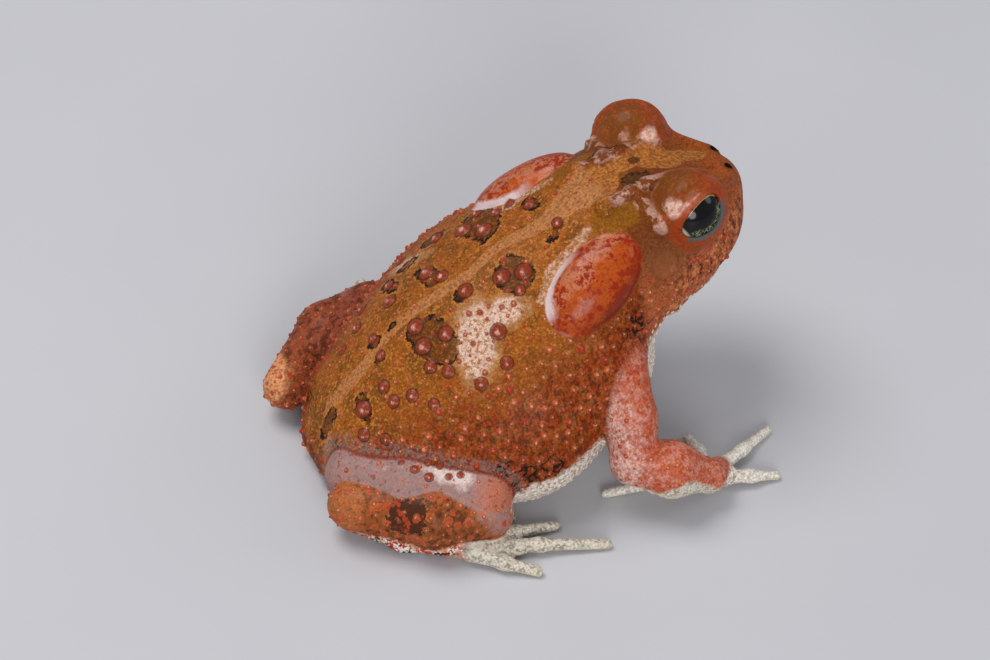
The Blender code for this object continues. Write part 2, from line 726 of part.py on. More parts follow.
def parotoid_place(side):
    """Middle of the gland on the skin, and its own axes as columns."""
    front, rear = (np.array((end[0], side * end[1], end[2])) for end in PAROTOID_ENDS)
    middle = 0.5 * (front + rear)[None]
    for _ in range(SETTLE_STEPS):
        middle = middle - body_form(middle)[:, None] * outward_of(middle, body_form)
    outward = outward_of(middle, body_form)[0]
    along = front - rear
    along -= (along @ outward) * outward
    along /= np.linalg.norm(along)
    return middle[0] - PAROTOID_SUNK * outward, np.stack((along, np.cross(outward, along), outward), axis=1)


def make_parotoids(group, body_cutter):
    for word, side in (("left", 1.0), ("right", -1.0)):
        middle, axes = parotoid_place(side)
        reach = 0.6 * PAROTOID_RADII[0] * axes[:, 0]
        half_width = PAROTOID_RADII[1]
        balls = stops_to_balls(((*(middle - reach), half_width), (*(middle + reach), half_width)))
        gland = grown(f"parotoid_{word}", balls,
                      lambda points: ellipsoid(points, middle, PAROTOID_RADII, axes),
                      group, PAROTOID_VOXEL, PAROTOID_TRIANGLES)
        cut_by(gland, [body_cutter])


def room_to_limbs(points):
    """Distance from each point to the nearest limb of either side."""
    forms = [form for side in (1.0, -1.0) for _, form in limb_forms(side).values()]
    return np.min([form(points) for form in forms], axis=0)


def flank_spots(side, rng, taken):
    """Random spots on one flank, clear of the limbs and of each other."""
    starts = [(rng.uniform(*FLANK_X), side * 30.0, rng.uniform(*FLANK_Z)) for _ in range(FLANK_TRIES)]
    found = marched(starts, (0.0, -side, 0.0), body_form)
    spots = []
    for spot in found[room_to_limbs(found) > LIMB_CLEARANCE]:
        crowded = any(np.linalg.norm(spot - other) < FLANK_APART for other in taken + spots)
        if not crowded and len(spots) < FLANK_WARTS:
            spots.append(spot)
    return spots


def make_back_warts(torso):
    """Big warts beside the stripe and small ones scattered over the flanks."""
    rng = random.Random(SEED)
    domes = new_group("warts", True)
    tops = marched([(x, y, DROP_HEIGHT) for x, y, _ in BACK_WARTS], (0.0, 0.0, -1.0), body_form)
    room = room_to_limbs(tops)
    places = [(tops[k], BACK_WARTS[k][2]) for k in range(len(tops)) if room[k] > LIMB_CLEARANCE]
    for side in (1.0, -1.0):
        for spot in flank_spots(side, rng, list(tops)):
            places.append((spot, rng.uniform(*FLANK_WART_RADIUS)))
    pieces = []
    for spot, radius in places:
        pieces.append(wart(spot, outward_of(spot[None], body_form)[0], radius, domes))
    fuse(torso, pieces, domes)


def make_thigh_warts(thigh, form, side):
    """Warts let down on to a thigh."""
    domes = new_group("thigh_warts", True)
    placed = mirrored(THIGH_WARTS, side)
    tops = marched([(x, y, DROP_HEIGHT) for x, y, _ in placed], (0.0, 0.0, -1.0), form)
    pieces = []
    for top, outward, (_, _, radius) in zip(tops, outward_of(tops, form), placed):
        pieces.append(wart(top, outward, radius, domes))
    fuse(thigh, pieces, domes)


def main():
    clear_scene()
    toad = new_group("southern_toad", False)
    cutters = new_group("cutters", True)
    body_cutter = grown("body_cutter", body_balls(), body_form, cutters, TORSO_VOXEL,
                        TORSO_TRIANGLES, CUT_OUT)
    torso = make_torso(toad)
    make_head(toad, cutters)
    for word, side in (("left", 1.0), ("right", -1.0)):
        ball(f"eye_{word}", head_place(EYE_CENTRE, side), EYE_RADIUS, toad)
    make_parotoids(toad, body_cutter)
    for side in (1.0, -1.0):
        make_limbs(side, toad, cutters, body_cutter)
    make_back_warts(torso)
    for cutter in list(cutters.objects):
        bpy.data.objects.remove(cutter)
    bpy.data.collections.remove(cutters)
    for item in toad.objects:
        finish(item)


main()
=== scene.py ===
"""The southern toad dressed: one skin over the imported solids, with warts, eyes and light.

Lengths are in millimetres in the toad's own frame (snout along +X, its left +Y, floor
z = 0) and METRE turns them into metres when a mesh is finished. The skin is a form, a
function that gives the distance to the skin; a cage of balls is remeshed and settled on it.
"""

import math
import random

import bmesh
import bpy
import numpy as np
from mathutils import Matrix, Vector


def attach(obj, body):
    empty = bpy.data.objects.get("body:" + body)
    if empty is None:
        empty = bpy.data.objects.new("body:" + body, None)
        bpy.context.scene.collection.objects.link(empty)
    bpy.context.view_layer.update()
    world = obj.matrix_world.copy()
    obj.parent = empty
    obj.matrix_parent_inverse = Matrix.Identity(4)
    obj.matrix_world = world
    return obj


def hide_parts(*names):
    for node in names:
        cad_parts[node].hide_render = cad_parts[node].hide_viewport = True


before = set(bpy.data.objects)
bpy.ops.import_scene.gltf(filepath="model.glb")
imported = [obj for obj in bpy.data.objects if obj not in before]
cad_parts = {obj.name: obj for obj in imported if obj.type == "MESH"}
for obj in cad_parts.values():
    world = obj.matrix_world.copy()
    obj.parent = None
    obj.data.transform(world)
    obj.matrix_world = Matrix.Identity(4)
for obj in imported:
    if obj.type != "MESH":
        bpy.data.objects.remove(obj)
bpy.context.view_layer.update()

METRE = 0.001
SIDES = (("left", 1.0), ("right", -1.0))
SEED = 5

# Trunk stations from the vent to the throat:
# (x, height of the back, height of the widest place, half width, height of the belly).
TRUNK_STATIONS = (
    (-26.4, 5.0, 3.2, 4.0, 1.2),
    (-24.6, 9.2, 4.2, 8.2, 0.5),
    (-20.0, 14.6, 5.6, 12.8, -0.6),
    (-14.0, 20.4, 6.4, 16.8, -1.2),
    (-8.0, 24.0, 7.4, 20.0, -1.4),
    (-2.0, 27.0, 8.4, 21.2, -1.4),
    (4.0, 29.3, 10.5, 19.6, -0.8),
    (9.0, 30.8, 14.0, 17.0, 1.6),
    (13.5, 31.4, 17.5, 13.6, 6.0),
    (18.0, 31.0, 23.5, 9.5, 17.0),
)
# Width of the left half against the right one, as (x, share): the toad leans a little.
TRUNK_LEFT_SHARE = ((-26.0, 0.84), (-14.0, 0.86), (-6.0, 0.92), (2.0, 0.99), (9.0, 1.06), (18.0, 1.06))
TRUNK_SQUARENESS_ABOVE = 1.8
TRUNK_SQUARENESS_BELOW = 2.5
CHEST = ((8.8, 0.0, 9.2), (11.0, 14.4, 11.4))
CHEST_BLEND = 4.0
NECK_BLEND = 5.0

# Head masses as (centre, radii) from the head's own origin, which turns a little left.
HEAD_ORIGIN = np.array((14.0, 0.0, 20.0))
HEAD_YAW = math.radians(3.0)
HEAD_BACK = -6.0
CRANIUM = ((4.0, 0.0, 6.0), (12.0, 10.6, 8.0))
SNOUT = ((11.9, 0.2, 4.4), (7.6, 7.0, 6.2))
MUZZLE = ((15.0, 0.1, 6.8), (4.4, 4.2, 3.5))
UPPER_JAW = ((4.6, 0.0, 2.9), (13.7, 11.4, 4.8))
THROAT = ((3.5, 0.0, -0.6), (13.2, 10.4, 4.4))
HEAD_MASSES = ((SNOUT, 3.0), (UPPER_JAW, 2.5), (THROAT, 2.0), (MUZZLE, 1.6))
BROW = ((8.3, 7.3, 11.4), (4.8, 4.7, 5.4))
BROW_BLEND = 2.2
# Ridges of the head as stops of (x, distance from the middle, z, radius). CANTHUS runs from the eye to
# the nostril, as its two ends and their radii.
CANTHUS = ((11.4, 6.0, 11.6), (16.6, 2.9, 9.7), 1.2, 0.7)
CREST = ((-1.8, 3.6, 13.2, 0.85), (4.4, 3.3, 13.9, 0.75), (9.2, 3.3, 13.5, 0.7))
CREST_KNOB = ((-1.9, 3.7, 13.1), 1.1)
CREST_BEHIND_EYE = ((2.2, 3.8, 13.7, 0.75), (3.2, 8.8, 11.8, 0.8))
CREST_BLEND = 0.9
CANTHUS_BLEND = 1.2
NOSTRIL = ((17.1, 1.8, 10.3), 0.5)
NOSTRIL_MOUND = ((16.8, 1.7, 9.8), 0.85)
NOSTRIL_BLEND = 0.25
NOSTRIL_MOUND_BLEND = 0.8
EYE_CENTRE = (7.8, 7.9, 12.0)
EYE_RADIUS = 4.0
EYE_FINENESS = 6
EYE_GAZE = (0.05, 0.92, 0.38)
EYE_PITCH = math.radians(33.0)
EYE_OPENING = (3.6, 2.35)
LID_UNDER = 0.14
LID_OVER = 0.25
LID_RIM = 0.28
LID_BEVEL = 0.5
LID_BEVEL_REACH = 2.0
LID_FOLD = 1.15
LID_FOLD_DEPTH = 0.3
LID_FOLD_STARTS = (0.2, 1.2)
LID_BLEND = 0.8
OPENING_BLEND = 0.25
LID_RIM_BLEND = 0.35
LID_FOLD_BLEND = 0.3
DRUM = ((2.6, 11.0, 7.6), 1.7)
DRUM_RIM = 0.24
DRUM_SIDE = 7.0
DRUM_BLEND = 0.25
MOUTH_CORNER_X = -1.0
MOUTH_CORNER_HEIGHT = 0.6
MOUTH_SLOPE = 0.09
MOUTH_GROOVE = 0.22
MOUTH_BLEND = 0.2
LIP_OVERHANG = 0.5
LIP_EDGE = 0.35
CHIN_FADE = 3.4

# The glands as their front and rear ends (x, distance from the middle, z) and their radii.
PAROTOID_ENDS = ((12.8, 8.4, 29.8), (2.6, 12.8, 25.6))
PAROTOID_RADII = (7.4, 4.25, 2.6)
PAROTOID_SUNK = 0.5
PAROTOID_BLEND = 0.5

# Limbs of one side, as stops of (x, distance from the middle, z, radius).
UPPER_ARM = ((9.6, 13.0, 17.0, 3.8), (8.8, 19.5, 12.0, 3.1), (8.0, 22.3, 7.8, 2.9))
FOREARM = ((8.0, 22.4, 7.2, 3.0), (12.0, 24.6, 6.2, 3.5), (16.8, 25.6, 3.9, 2.1))
PALM = ((16.8, 25.6, 3.7, 2.0), (19.0, 24.0, 2.0, 1.9))
FINGERS = (
    ((18.6, 23.6, 1.7, 1.15), (24.0, 21.4, 1.3, 0.7), (28.8, 19.1, 0.55, 0.58)),
    ((18.9, 24.6, 1.7, 1.15), (22.8, 25.9, 1.3, 0.7), (26.1, 26.6, 0.55, 0.58)),
    ((18.0, 22.8, 1.6, 1.1), (18.9, 19.4, 1.2, 0.7), (18.9, 16.0, 0.55, 0.58)),
    ((16.6, 23.2, 1.6, 1.1), (10.8, 21.6, 1.1, 0.7), (5.1, 20.2, 0.55, 0.58)),
)
THIGH = ((-23.6, 7.4, 4.6, 3.8), (-18.5, 13.6, 5.8, 4.1), (-11.1, 18.8, 6.1, 3.6))
LEFT_THIGH = ((-18.6, 8.0, 5.0, 3.4), (-16.6, 13.0, 5.8, 3.8), (-11.1, 18.4, 6.0, 3.6))
SHANK = ((-11.1, 20.5, 4.6, 3.0), (-17.5, 18.1, 4.8, 3.8), (-25.9, 11.6, 4.3, 3.0))
TARSUS = ((-25.9, 12.0, 2.4, 1.8), (-21.3, 17.2, 1.9, 1.8), (-15.3, 21.0, 1.7, 1.9))
TOES = (
    ((-15.3, 20.2, 1.4, 1.1), (-12.3, 18.4, 1.1, 0.75), (-9.2, 16.9, 0.6, 0.6)),
    ((-14.5, 20.8, 1.4, 1.1), (-11.1, 20.0, 1.1, 0.75), (-7.3, 18.9, 0.6, 0.6)),
    ((-13.7, 21.4, 1.4, 1.15), (-8.3, 21.8, 1.2, 0.8), (-2.9, 22.5, 0.6, 0.62)),
    ((-13.7, 22.2, 1.4, 1.2), (-6.3, 25.0, 1.2, 0.8), (1.6, 28.0, 0.6, 0.62)),
    ((-14.7, 22.8, 1.4, 1.1), (-11.5, 25.8, 1.1, 0.8), (-8.2, 28.4, 0.6, 0.66)),
)
WEB_REACH = 0.42
WEB_HALF_THICKNESS = 0.3
WEB_HEIGHT = 0.8
WEB_STEPS = 7
LEFT_LEG_SHIFT = (0.6, -0.8)
LIMB_BLENDS = {"upper_arm": 1.8, "forearm": 1.0, "hand": 0.8, "thigh": 0.7, "shank": 0.5, "foot": 0.7}

# Large warts of the back as (x, y, radius), in two ragged rows beside the stripe.
BACK_WARTS = (
    (-1.8, 7.1, 1.05), (-0.2, 4.6, 1.09), (0.8, 9.1, 0.76), (2.4, 6.6, 0.76), (4.3, 6.5, 0.67),
    (5.6, 3.6, 0.76), (-8.2, 4.3, 1.01), (-7.2, 1.9, 0.84), (-11.9, 7.8, 0.76), (-17.2, 5.9, 0.76),
    (-19.6, 5.0, 0.67), (-16.9, 1.6, 0.67), (-1.6, -3.6, 1.01), (0.9, -4.6, 1.01), (-0.4, -6.4, 0.67),
    (-5.9, -2.3, 0.92), (6.8, -1.9, 0.67), (-12.6, -2.0, 1.01), (-12.8, -4.8, 1.01), (-10.0, -5.4, 0.92),
    (-4.6, -9.1, 0.92), (-13.0, -7.4, 0.76), (-11.4, -9.2, 0.76), (-5.0, -12.5, 0.76),
    (-8.5, -12.6, 0.76), (-18.2, -4.8, 0.76), (-17.9, -7.1, 0.76), (-15.9, -8.3, 0.76),
    (-14.1, -10.8, 0.67), (-21.0, -4.7, 1.01), (-22.0, -7.0, 0.76), (-20.0, -9.3, 0.67),
    (-17.1, -1.4, 0.67), (-4.4, 9.8, 0.84), (-8.6, 11.6, 0.76), (-13.2, 4.6, 0.92), (-15.4, 8.6, 0.76),
)
WART_SUNK = 0.35
DROP_HEIGHT = 45.0
WART_BLEND = 0.3
GLINT_WAY = (-0.6, -0.8, 0.0)
# Warts of a thigh as (x, distance from the middle, radius).
THIGH_WARTS = ((-18.4, 14.4, 0.55), (-17.2, 16.0, 0.55), (-15.4, 15.2, 0.4), (-15.0, 17.0, 0.45),
               (-19.4, 12.6, 0.4), (-13.6, 17.4, 0.45), (-16.6, 14.2, 0.38))
THIGH_WART_LOWEST = 4.0

# Markings in plan, as (x, y, half length, half width, turn in degrees).
BLOTCHES = (
    (0.2, 6.3, 4.0, 2.3, 75.0), (-0.1, -4.1, 2.7, 2.3, -80.0), (-8.3, 3.4, 2.5, 1.2, 100.0),
    (-6.2, -2.4, 1.3, 0.9, 0.0), (-11.4, -4.9, 3.9, 2.2, -70.0), (-8.9, 9.0, 1.4, 1.0, 0.0),
    (-11.9, 7.4, 1.9, 0.9, 90.0), (-16.9, 0.9, 1.0, 0.8, 0.0), (-17.2, -1.6, 0.7, 0.5, 0.0),
    (-20.9, -4.6, 1.6, 0.8, 90.0), (-24.4, -1.6, 1.3, 1.0, 0.0), (5.8, 3.8, 1.7, 0.9, 100.0),
    (6.2, -2.7, 1.5, 0.6, 30.0), (-4.6, 10.6, 1.6, 1.1, 0.0), (-14.5, 0.7, 0.45, 0.35, 0.0),
)
# The next ovals are patches of tan skin under a pale painted highlight.
HIGHLIGHT_PATCHES = ((-7.2, -8.2, 4.3, 2.7, 70.0), (-3.2, -7.4, 2.8, 1.6, -20.0), (-8.6, 9.6, 2.2, 1.2, -40.0))

# The skin's mesh: its voxels, its most triangles, how far the finer zones reach round the lids and
# nostrils, and the rough balls that it starts from.
SKIN_VOXEL = 0.38
ROUGH_VOXEL = 0.6
SKIN_TRIANGLES = 165000
FINE_REACHES = (1.1, 0.5)
CAGE_SPACING = 0.5
SMALL_BALL = 4.0
TRUNK_BALLS = (((-10.0, 0.0, 9.5), (14.5, 17.0, 11.0)), ((0.0, 0.0, 14.0), (12.0, 15.5, 13.5)))
PAROTOID_SPREAD = (-0.55, 0.0, 0.55)
PAROTOID_BALL = 2.3
SETTLE_STEPS = 8
SETTLE_LIMIT = 0.6
SETTLED = 0.004
SLOPE_STEP = 0.03


# Distances.

def ellipsoid(points, centre, radii, axes=None):
    """Distance to an ellipsoid. axes has the ellipsoid's own directions as columns."""
    offset = points - np.asarray(centre, float)
    if axes is not None:
        offset = offset @ axes
    radii = np.asarray(radii, float)
    near = np.sqrt(((offset / radii) ** 2).sum(axis=1))
    slope = np.sqrt(((offset / radii ** 2) ** 2).sum(axis=1))
    return near * (near - 1.0) / np.maximum(slope, 1e-6)


def bean(points, centre, radii, axes):
    """An ellipsoid whose value also grows steadily from its middle outwards."""
    near = np.sqrt((((points - centre) @ axes / np.asarray(radii)) ** 2).sum(axis=1))
    return np.where(near < 1.0, (near - 1.0) * min(radii), ellipsoid(points, centre, radii, axes))


def ball(points, centre, radius):
    return np.sqrt(((points - np.asarray(centre, float)) ** 2).sum(axis=1)) - radius


def bar(points, start, end, start_radius, end_radius):
    """Distance to a tapered bar with round ends."""
    start = np.asarray(start, float)
    along = np.asarray(end, float) - start
    offset = points - start
    share = np.clip(offset @ along / (along @ along), 0.0, 1.0)
    radius = start_radius + (end_radius - start_radius) * share
    return np.sqrt(((offset - share[:, None] * along) ** 2).sum(axis=1)) - radius


def joined(first, second, blend):
    """Smooth union of two distances."""
    share = np.clip(0.5 + 0.5 * (second - first) / blend, 0.0, 1.0)
    return second * (1.0 - share) + first * share - blend * share * (1.0 - share)


def carved(body, cutter, blend):
    """The body with the cutter taken out, its edge softened."""
    return -joined(-body, cutter, blend)


def chain(points, stops, blend=1.0):
    """Tapered bars through stops of (x, y, z, radius)."""
    found = None
    for start, end in zip(stops[:-1], stops[1:]):
        piece = bar(points, start[:3], end[:3], start[3], end[3])
        found = piece if found is None else joined(found, piece, blend)
    return found


def along_table(x, table):
    """The value of a table of (x, value) at each x."""
    table = np.array(table)
    return np.interp(x, table[:, 0], table[:, 1])


def smooth_curve(stops_x, stops_y, x):
    """A curve through the stops that bends evenly between them."""
    slopes = np.gradient(stops_y, stops_x)
    place = np.clip(np.searchsorted(stops_x, x) - 1, 0, len(stops_x) - 2)
    step = stops_x[place + 1] - stops_x[place]
    t = np.clip((x - stops_x[place]) / step, 0.0, 1.0)
    start = (2 * t ** 3 - 3 * t ** 2 + 1) * stops_y[place] + (t ** 3 - 2 * t ** 2 + t) * step * slopes[place]
    end = (3 * t ** 2 - 2 * t ** 3) * stops_y[place + 1] + (t ** 3 - t ** 2) * step * slopes[place + 1]
    return start + end


def eased(value, low, high):
    """0 below low, 1 above high and a soft step between them."""
    share = np.clip((value - low) / (high - low), 0.0, 1.0)
    return share * share * (3.0 - 2.0 * share)


def mirrored(stops, side):
    """Stops of one side placed left (side 1) or right (side -1)."""
    shift = LEFT_LEG_SHIFT if side > 0.0 and stops[0][0] < 0.0 else (0.0, 0.0)
    return tuple((stop[0] + shift[0], side * (stop[1] + shift[1]), *stop[2:]) for stop in stops)


def blended(points, form, stops, piece, blend):
    """Joins a piece to the form, worked out only in the box round its stops."""
    spots = np.array([stop[:3] for stop in stops])
    room = max(stop[3] for stop in stops) + blend + 1.0
    inside = np.all((points > spots.min(axis=0) - room) & (points < spots.max(axis=0) + room), axis=1)
    if inside.any():
        form[inside] = joined(form[inside], piece(points[inside]), blend)
    return form


# Forms.

def trunk_form(points):
    table = np.array(TRUNK_STATIONS)
    stations = table[:, 0]
    x = points[:, 0]
    top, widest, half_width, bottom = (smooth_curve(stations, table[:, k], x) for k in range(1, 5))
    left = along_table(x, TRUNK_LEFT_SHARE)
    half_width = half_width * np.where(points[:, 1] > 0.0, left, 1.0)
    above = points[:, 2] > widest
    height = np.where(above, top - widest, widest - bottom)
    across = np.abs(points[:, 1]) / half_width
    upward = np.abs(points[:, 2] - widest) / height
    power = np.where(above, TRUNK_SQUARENESS_ABOVE, TRUNK_SQUARENESS_BELOW)
    ring = (across ** power + upward ** power) ** (1.0 / power)
    side = (ring - 1.0) * np.minimum(half_width, height)
    ends = np.abs(x - 0.5 * (stations[0] + stations[-1])) - 0.5 * (stations[-1] - stations[0])
    return np.maximum(side, ends)


def head_frame(points):
    """Points in the head's own frame, and the same with the left side folded on to the right."""
    turn = np.array(((math.cos(HEAD_YAW), -math.sin(HEAD_YAW), 0.0),
                     (math.sin(HEAD_YAW), math.cos(HEAD_YAW), 0.0), (0.0, 0.0, 1.0)))
    own = (points - HEAD_ORIGIN) @ turn
    folded = own.copy()
    folded[:, 1] = np.abs(own[:, 1])
    return own, folded


def head_place(spot, side=1.0):
    """A spot of the head's own frame in the toad's frame."""
    x = spot[0] * math.cos(HEAD_YAW) - side * spot[1] * math.sin(HEAD_YAW)
    y = spot[0] * math.sin(HEAD_YAW) + side * spot[1] * math.cos(HEAD_YAW)
    return HEAD_ORIGIN + (x, y, spot[2])


def eye_axes():
    """The eye's own directions in the folded head: along the lids, up across them, and outwards."""
    gaze = np.array(EYE_GAZE) / np.linalg.norm(EYE_GAZE)
    along = np.array((math.cos(EYE_PITCH), 0.0, math.sin(EYE_PITCH)))
    along -= (along @ gaze) * gaze
    along /= np.linalg.norm(along)
    return np.stack((along, np.cross(gaze, along) * -1.0, gaze), axis=1)


def eye_opening(folded):
    """Distance to the rim of the lids, seen along the gaze: less than 0 inside it."""
    own = (folded - np.array(EYE_CENTRE)) @ eye_axes()
    share = np.hypot(own[:, 0] / EYE_OPENING[0], own[:, 1] / EYE_OPENING[1])
    return np.where(own[:, 2] > 0.0, (share - 1.0) * EYE_OPENING[1], 9.0)


def above_eye(folded):
    """Height over the middle of the eye, measured across the lids."""
    return (folded - np.array(EYE_CENTRE)) @ eye_axes()[:, 1]


def head_form(points):
    own, folded = head_frame(points)
    form = ellipsoid(own, *CRANIUM)
    for mass, blend in HEAD_MASSES:
        form = joined(form, ellipsoid(own, *mass), blend)
    return joined(form, ellipsoid(folded, *BROW), BROW_BLEND)


def body_form(points):
    torso = joined(trunk_form(points), ellipsoid(points, *CHEST), CHEST_BLEND)
    return joined(torso, head_form(points), NECK_BLEND)


def mouth_height(own):
    """Height above the line of the mouth."""
    return own[:, 2] - MOUTH_CORNER_HEIGHT - MOUTH_SLOPE * (own[:, 0] - MOUTH_CORNER_X)


def face_form(points, form):
    """Crests, lids, ear drum, nostrils and the line of the mouth on the blended body."""
    own, folded = head_frame(points)
    near = own[:, 0] > HEAD_BACK
    own, folded = own[near], folded[near]
    face = form[near]
    face = joined(face, bar(folded, *CANTHUS), CANTHUS_BLEND)
    for ridge in (chain(folded, CREST), ball(folded, *CREST_KNOB), chain(folded, CREST_BEHIND_EYE)):
        face = joined(face, ridge, CREST_BLEND)
    above = mouth_height(own)
    step = np.clip(-above / LIP_EDGE, 0.0, 1.0) * np.clip(1.0 + above / CHIN_FADE, 0.0, 1.0)
    reach = eased(own[:, 0], MOUTH_CORNER_X, MOUTH_CORNER_X + 2.0)
    face = face + LIP_OVERHANG * step * reach
    groove = np.sqrt(above ** 2 + face ** 2) - MOUTH_GROOVE * reach
    face = carved(face, groove, MOUTH_BLEND)
    opening = eye_opening(folded)
    eyeball = ball(folded, EYE_CENTRE, EYE_RADIUS)
    face = joined(face, eyeball - LID_OVER, LID_BLEND)
    bevelled = opening - LID_BEVEL * np.clip(eyeball, 0.0, LID_BEVEL_REACH)
    face = carved(face, np.maximum(bevelled, -eyeball - LID_UNDER), OPENING_BLEND)
    rim = np.sqrt(opening ** 2 + (eyeball - LID_OVER * 0.5) ** 2) - LID_RIM
    face = joined(face, rim, LID_RIM_BLEND)
    upper = eased(above_eye(folded), *LID_FOLD_STARTS)
    fold = np.sqrt((opening - LID_FOLD) ** 2 + face ** 2) - LID_FOLD_DEPTH * upper
    face = carved(face, fold, LID_FOLD_BLEND)
    drum_centre, drum_radius = DRUM
    from_middle = np.sqrt((folded[:, 0] - drum_centre[0]) ** 2 + (folded[:, 2] - drum_centre[2]) ** 2)
    from_drum = from_middle - drum_radius
    at_side = folded[:, 1] > DRUM_SIDE
    rim = np.where(at_side, np.sqrt(from_drum ** 2 + face ** 2) - DRUM_RIM, 1.0)
    face = joined(face, rim, DRUM_BLEND)
    face = joined(face, ball(folded, *NOSTRIL_MOUND), NOSTRIL_MOUND_BLEND)
    face = carved(face, ball(folded, *NOSTRIL), NOSTRIL_BLEND)
    form = form.copy()
    form[near] = face
    return form


def slope_of(points, form):
    """How fast and which way a form grows at each point."""
    here = form(points)
    slope = np.empty_like(points)
    for axis in range(3):
        nudge = np.zeros(3)
        nudge[axis] = SLOPE_STEP
        slope[:, axis] = (form(points + nudge) - here) / SLOPE_STEP
    return here, slope


def outward_of(points, form):
    slope = slope_of(points, form)[1]
    return slope / np.linalg.norm(slope, axis=1, keepdims=True)


def marched(points, way, form, steps=60, share=0.7):
    """Points moved along one direction until they meet the form."""
    points = np.array(points, float)
    for _ in range(steps):
        points += np.maximum(form(points), 0.0)[:, None] * share * np.asarray(way)
    return points


def parotoid_place(side):
    """Middle of the gland on the skin, and its own axes as columns."""
    front, rear = (np.array((end[0], side * end[1], end[2])) for end in PAROTOID_ENDS)
    middle = 0.5 * (front + rear)[None]
    for _ in range(SETTLE_STEPS):
        middle = middle - body_form(middle)[:, None] * outward_of(middle, body_form)
    outward = outward_of(middle, body_form)[0]
    along = front - rear
    along -= (along @ outward) * outward
    along /= np.linalg.norm(along)
    return middle[0] - PAROTOID_SUNK * outward, np.stack((along, np.cross(outward, along), outward), axis=1)


def web_corners(toe, next_toe):
    """The flat triangle of skin between two toes, at one height."""
    corners = []
    for stops, share in ((toe, 0.0), (toe, WEB_REACH), (next_toe, WEB_REACH)):
        start = np.array(stops[0][:3])
        end = np.array(stops[-1][:3])
        corners.append(start + (end - start) * share)
    corners = np.array(corners)
    corners[:, 2] = WEB_HEIGHT
    return corners


def triangle(points, corners):
    """Distance to a flat triangle."""
    a, b, c = corners
    normal = np.cross(b - a, c - a)
    normal /= np.linalg.norm(normal)
    nearest = None
    inside = np.ones(len(points), bool)
    for start, end in ((a, b), (b, c), (c, a)):
        along = end - start
        offset = points - start
        share = np.clip(offset @ along / (along @ along), 0.0, 1.0)
        gap = np.linalg.norm(offset - share[:, None] * along, axis=1)
        nearest = gap if nearest is None else np.minimum(nearest, gap)
        inside &= np.cross(along, offset) @ normal >= 0.0
    return np.where(inside, np.abs((points - a) @ normal), nearest)


def digits_form(points, stem, digits, blend, webs):
    found = chain(points, stem)
    for stops in digits:
        found = joined(found, chain(points, stops), blend)
    for corners in webs:
        found = joined(found, triangle(points, corners) - WEB_HALF_THICKNESS, 0.5)
    return found


class Toad:
    """Everything about the form that is worked out once: glands, warts and limbs."""

    def __init__(self):
        self.glands = [parotoid_place(side) for _, side in SIDES]
        self.limbs = {}
        for _, side in SIDES:
            palm, tarsus = mirrored(PALM, side), mirrored(TARSUS, side)
            fingers = [mirrored(stops, side) for stops in FINGERS]
            toes = [mirrored(stops, side) for stops in TOES]
            self.limbs[side] = {
                "upper_arm": (mirrored(UPPER_ARM, side), [], []),
                "forearm": (mirrored(FOREARM, side), [], []),
                "hand": (palm, fingers, []),
                "thigh": (mirrored(THIGH if side < 0.0 else LEFT_THIGH, side), [], []),
                "shank": (mirrored(SHANK, side), [], []),
                "foot": (tarsus, toes, [web_corners(toe, other) for toe, other in zip(toes[:-1], toes[1:])]),
            }
        self.warts = []
        self.add_warts(BACK_WARTS, body_form)
        for _, side in SIDES:
            warts = [(x, y, radius) for x, y, radius in mirrored(THIGH_WARTS, side)]
            self.add_warts(warts, lambda points: chain(points, self.limbs[side]["thigh"][0]))

    def add_warts(self, warts, form):
        """Sets warts, given as (x, y, radius), on a form from above, with their outward ways."""
        tops = marched([(x, y, DROP_HEIGHT) for x, y, _ in warts], (0.0, 0.0, -1.0), form)
        for top, way, (_, _, radius) in zip(tops, outward_of(tops, form), warts):
            if top[2] > THIGH_WART_LOWEST:
                self.warts.append((top - WART_SUNK * radius * way, radius, way))

    def limb_distance(self, points, part, side):
        stem, digits, webs = self.limbs[side][part]
        return digits_form(points, stem, digits, 1.0, webs)

    def form(self, points):
        """Distance to the finished skin."""
        form = body_form(points)
        for middle, axes in self.glands:
            form = joined(form, bean(points, middle, PAROTOID_RADII, axes), PAROTOID_BLEND)
        form = face_form(points, form)
        for parts in self.limbs.values():
            for part, blend in LIMB_BLENDS.items():
                stem, digits, webs = parts[part]
                stops = [*stem, *(stop for toe in digits for stop in toe)]
                form = blended(points, form, stops,
                               lambda p, s=stem, d=digits, w=webs: digits_form(p, s, d, 1.0, w), blend)
        for centre, radius, _ in self.warts:
            stop = (*centre, radius)
            form = blended(points, form, (stop,), lambda p, c=centre, r=radius: ball(p, c, r), WART_BLEND)
        return form


toad = Toad()


# Meshes.

def stops_to_balls(stops):
    """Balls set close along tapered bars."""
    balls = []
    for start, end in zip(stops[:-1], stops[1:]):
        start, end = np.array(start), np.array(end)
        count = max(2, int(np.linalg.norm(end[:3] - start[:3]) / (CAGE_SPACING * min(start[3], end[3]))))
        for share in np.linspace(0.0, 1.0, count):
            spot = start + (end - start) * share
            balls.append((tuple(spot[:3]), (spot[3],) * 3))
    return balls


